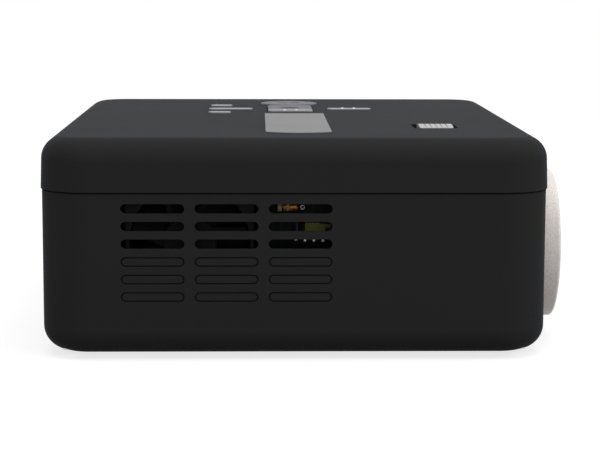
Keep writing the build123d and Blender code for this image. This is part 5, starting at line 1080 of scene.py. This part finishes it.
def capacitor():
    """A round can with a crimp near its foot."""
    work = bmesh.new()
    turned(work, on_board(CAN_ALONG, CAN_RISE, 0.0), OUT_FROM_BOARD, CAN_PROFILE,
           steps=CAN_STEPS)
    return new_piece("driver_capacitor", work, [wire_blue])


capacitor_piece = capacitor()
print("capacitor faces:", len(capacitor_piece.data.polygons))

# %% [markdown]
# The pin strip is a black moulded bar with square tinned pins, of which the first is shorter.
# An Array modifier would repeat one pin, but not with its own length, so a loop makes them
# from a list of how far each one reaches.

# %% Pin strip
STRIP_LEFT, STRIP_LOW, STRIP_HIGH = 11.8, 26.4, 31.0
STRIP_DEPTH, STRIP_EDGE = 6.0, 0.3
PIN_REACHES = (8.0, COMPONENT_REACH, COMPONENT_REACH, COMPONENT_REACH)
PIN_PITCH = 3.55
PIN_RISE = 29.9
PIN_HALF, PIN_EDGE = 0.5, 0.15
PIN_ROOT = 5.5                    # where a pin starts, inside the bar
BAR, PIN = range(2)


def pin_strip():
    """A moulded bar with a row of square pins."""
    work = bmesh.new()
    strip_right = STRIP_LEFT + PIN_PITCH * len(PIN_REACHES)
    rounded_block(work, on_board(STRIP_LEFT, STRIP_LOW, STRIP_DEPTH),
                  on_board(strip_right, STRIP_HIGH, 0.0), STRIP_EDGE, BAR)
    for count, reach in enumerate(PIN_REACHES):
        middle = STRIP_LEFT + PIN_PITCH * (count + 0.5)
        rounded_block(work, on_board(middle - PIN_HALF, PIN_RISE - PIN_HALF, reach),
                      on_board(middle + PIN_HALF, PIN_RISE + PIN_HALF, PIN_ROOT), PIN_EDGE, PIN)
    return new_piece("driver_pin_strip", work, [strip_black, tinned])


strip_piece = pin_strip()
print("strip pins:", len(PIN_REACHES))

# %% [markdown]
# A blue wire bows up beside the transformer, from the pin strip to the board above it. Straight
# stretches between its points would look like bent rod. So its route is a handful of points, a
# NURBS line through them gives the soft bends of real wire, and the tube follows the points of
# that line. The new components then stand for the board's plain solids.

# %% Wire
WIRE_ROUTE = [(12.6, 30.0, 0.3), (13.4, 31.5, 4.0), (13.9, 32.4, 9.0), (13.9, 33.8, 10.8),
              (13.9, 36.4, 10.8), (13.6, 38.6, 8.6), (13.0, 39.6, 4.0), (12.8, 39.8, 0.3)]
ROUTE_ORDER = 3
LOOSE_WIRE_RADIUS = 0.4


def smooth_line(places):
    """The points of a NURBS line along a route of board places."""
    line = bpy.data.curves.new("wire_line", "CURVE")
    line.dimensions = "3D"
    spline = line.splines.new("NURBS")
    spline.points.add(len(places) - 1)
    for point, place in zip(spline.points, places):
        point.co = (*on_board(*place), 1)
    spline.order_u = ROUTE_ORDER
    spline.use_endpoint_u = True
    holder = bpy.data.objects.new("wire_line", line)
    mesh = bpy.data.meshes.new_from_object(holder)
    path = [vertex.co.copy() for vertex in mesh.vertices]
    bpy.data.meshes.remove(mesh)
    bpy.data.objects.remove(holder)
    return path


def wire():
    """A blue wire from the pin strip to the board above it."""
    work = bmesh.new()
    tube(work, smooth_line(WIRE_ROUTE), LOOSE_WIRE_RADIUS)
    return new_piece("driver_wire", work, [wire_blue])


wire_piece = wire()
for piece in (choke_piece, terminal_piece, transformer_piece, capacitor_piece, strip_piece,
              wire_piece):
    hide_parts("driver_board_parts")
dress("driver_board_parts", strip_black)

# %% [markdown]
# The last cell lists any piece that was left without a finish.

# %% Check the finishes
bare = [name for name, piece in nodes.items()
        if not piece.data.materials or not piece.data.materials[0]]
print("pieces without a finish:", bare)
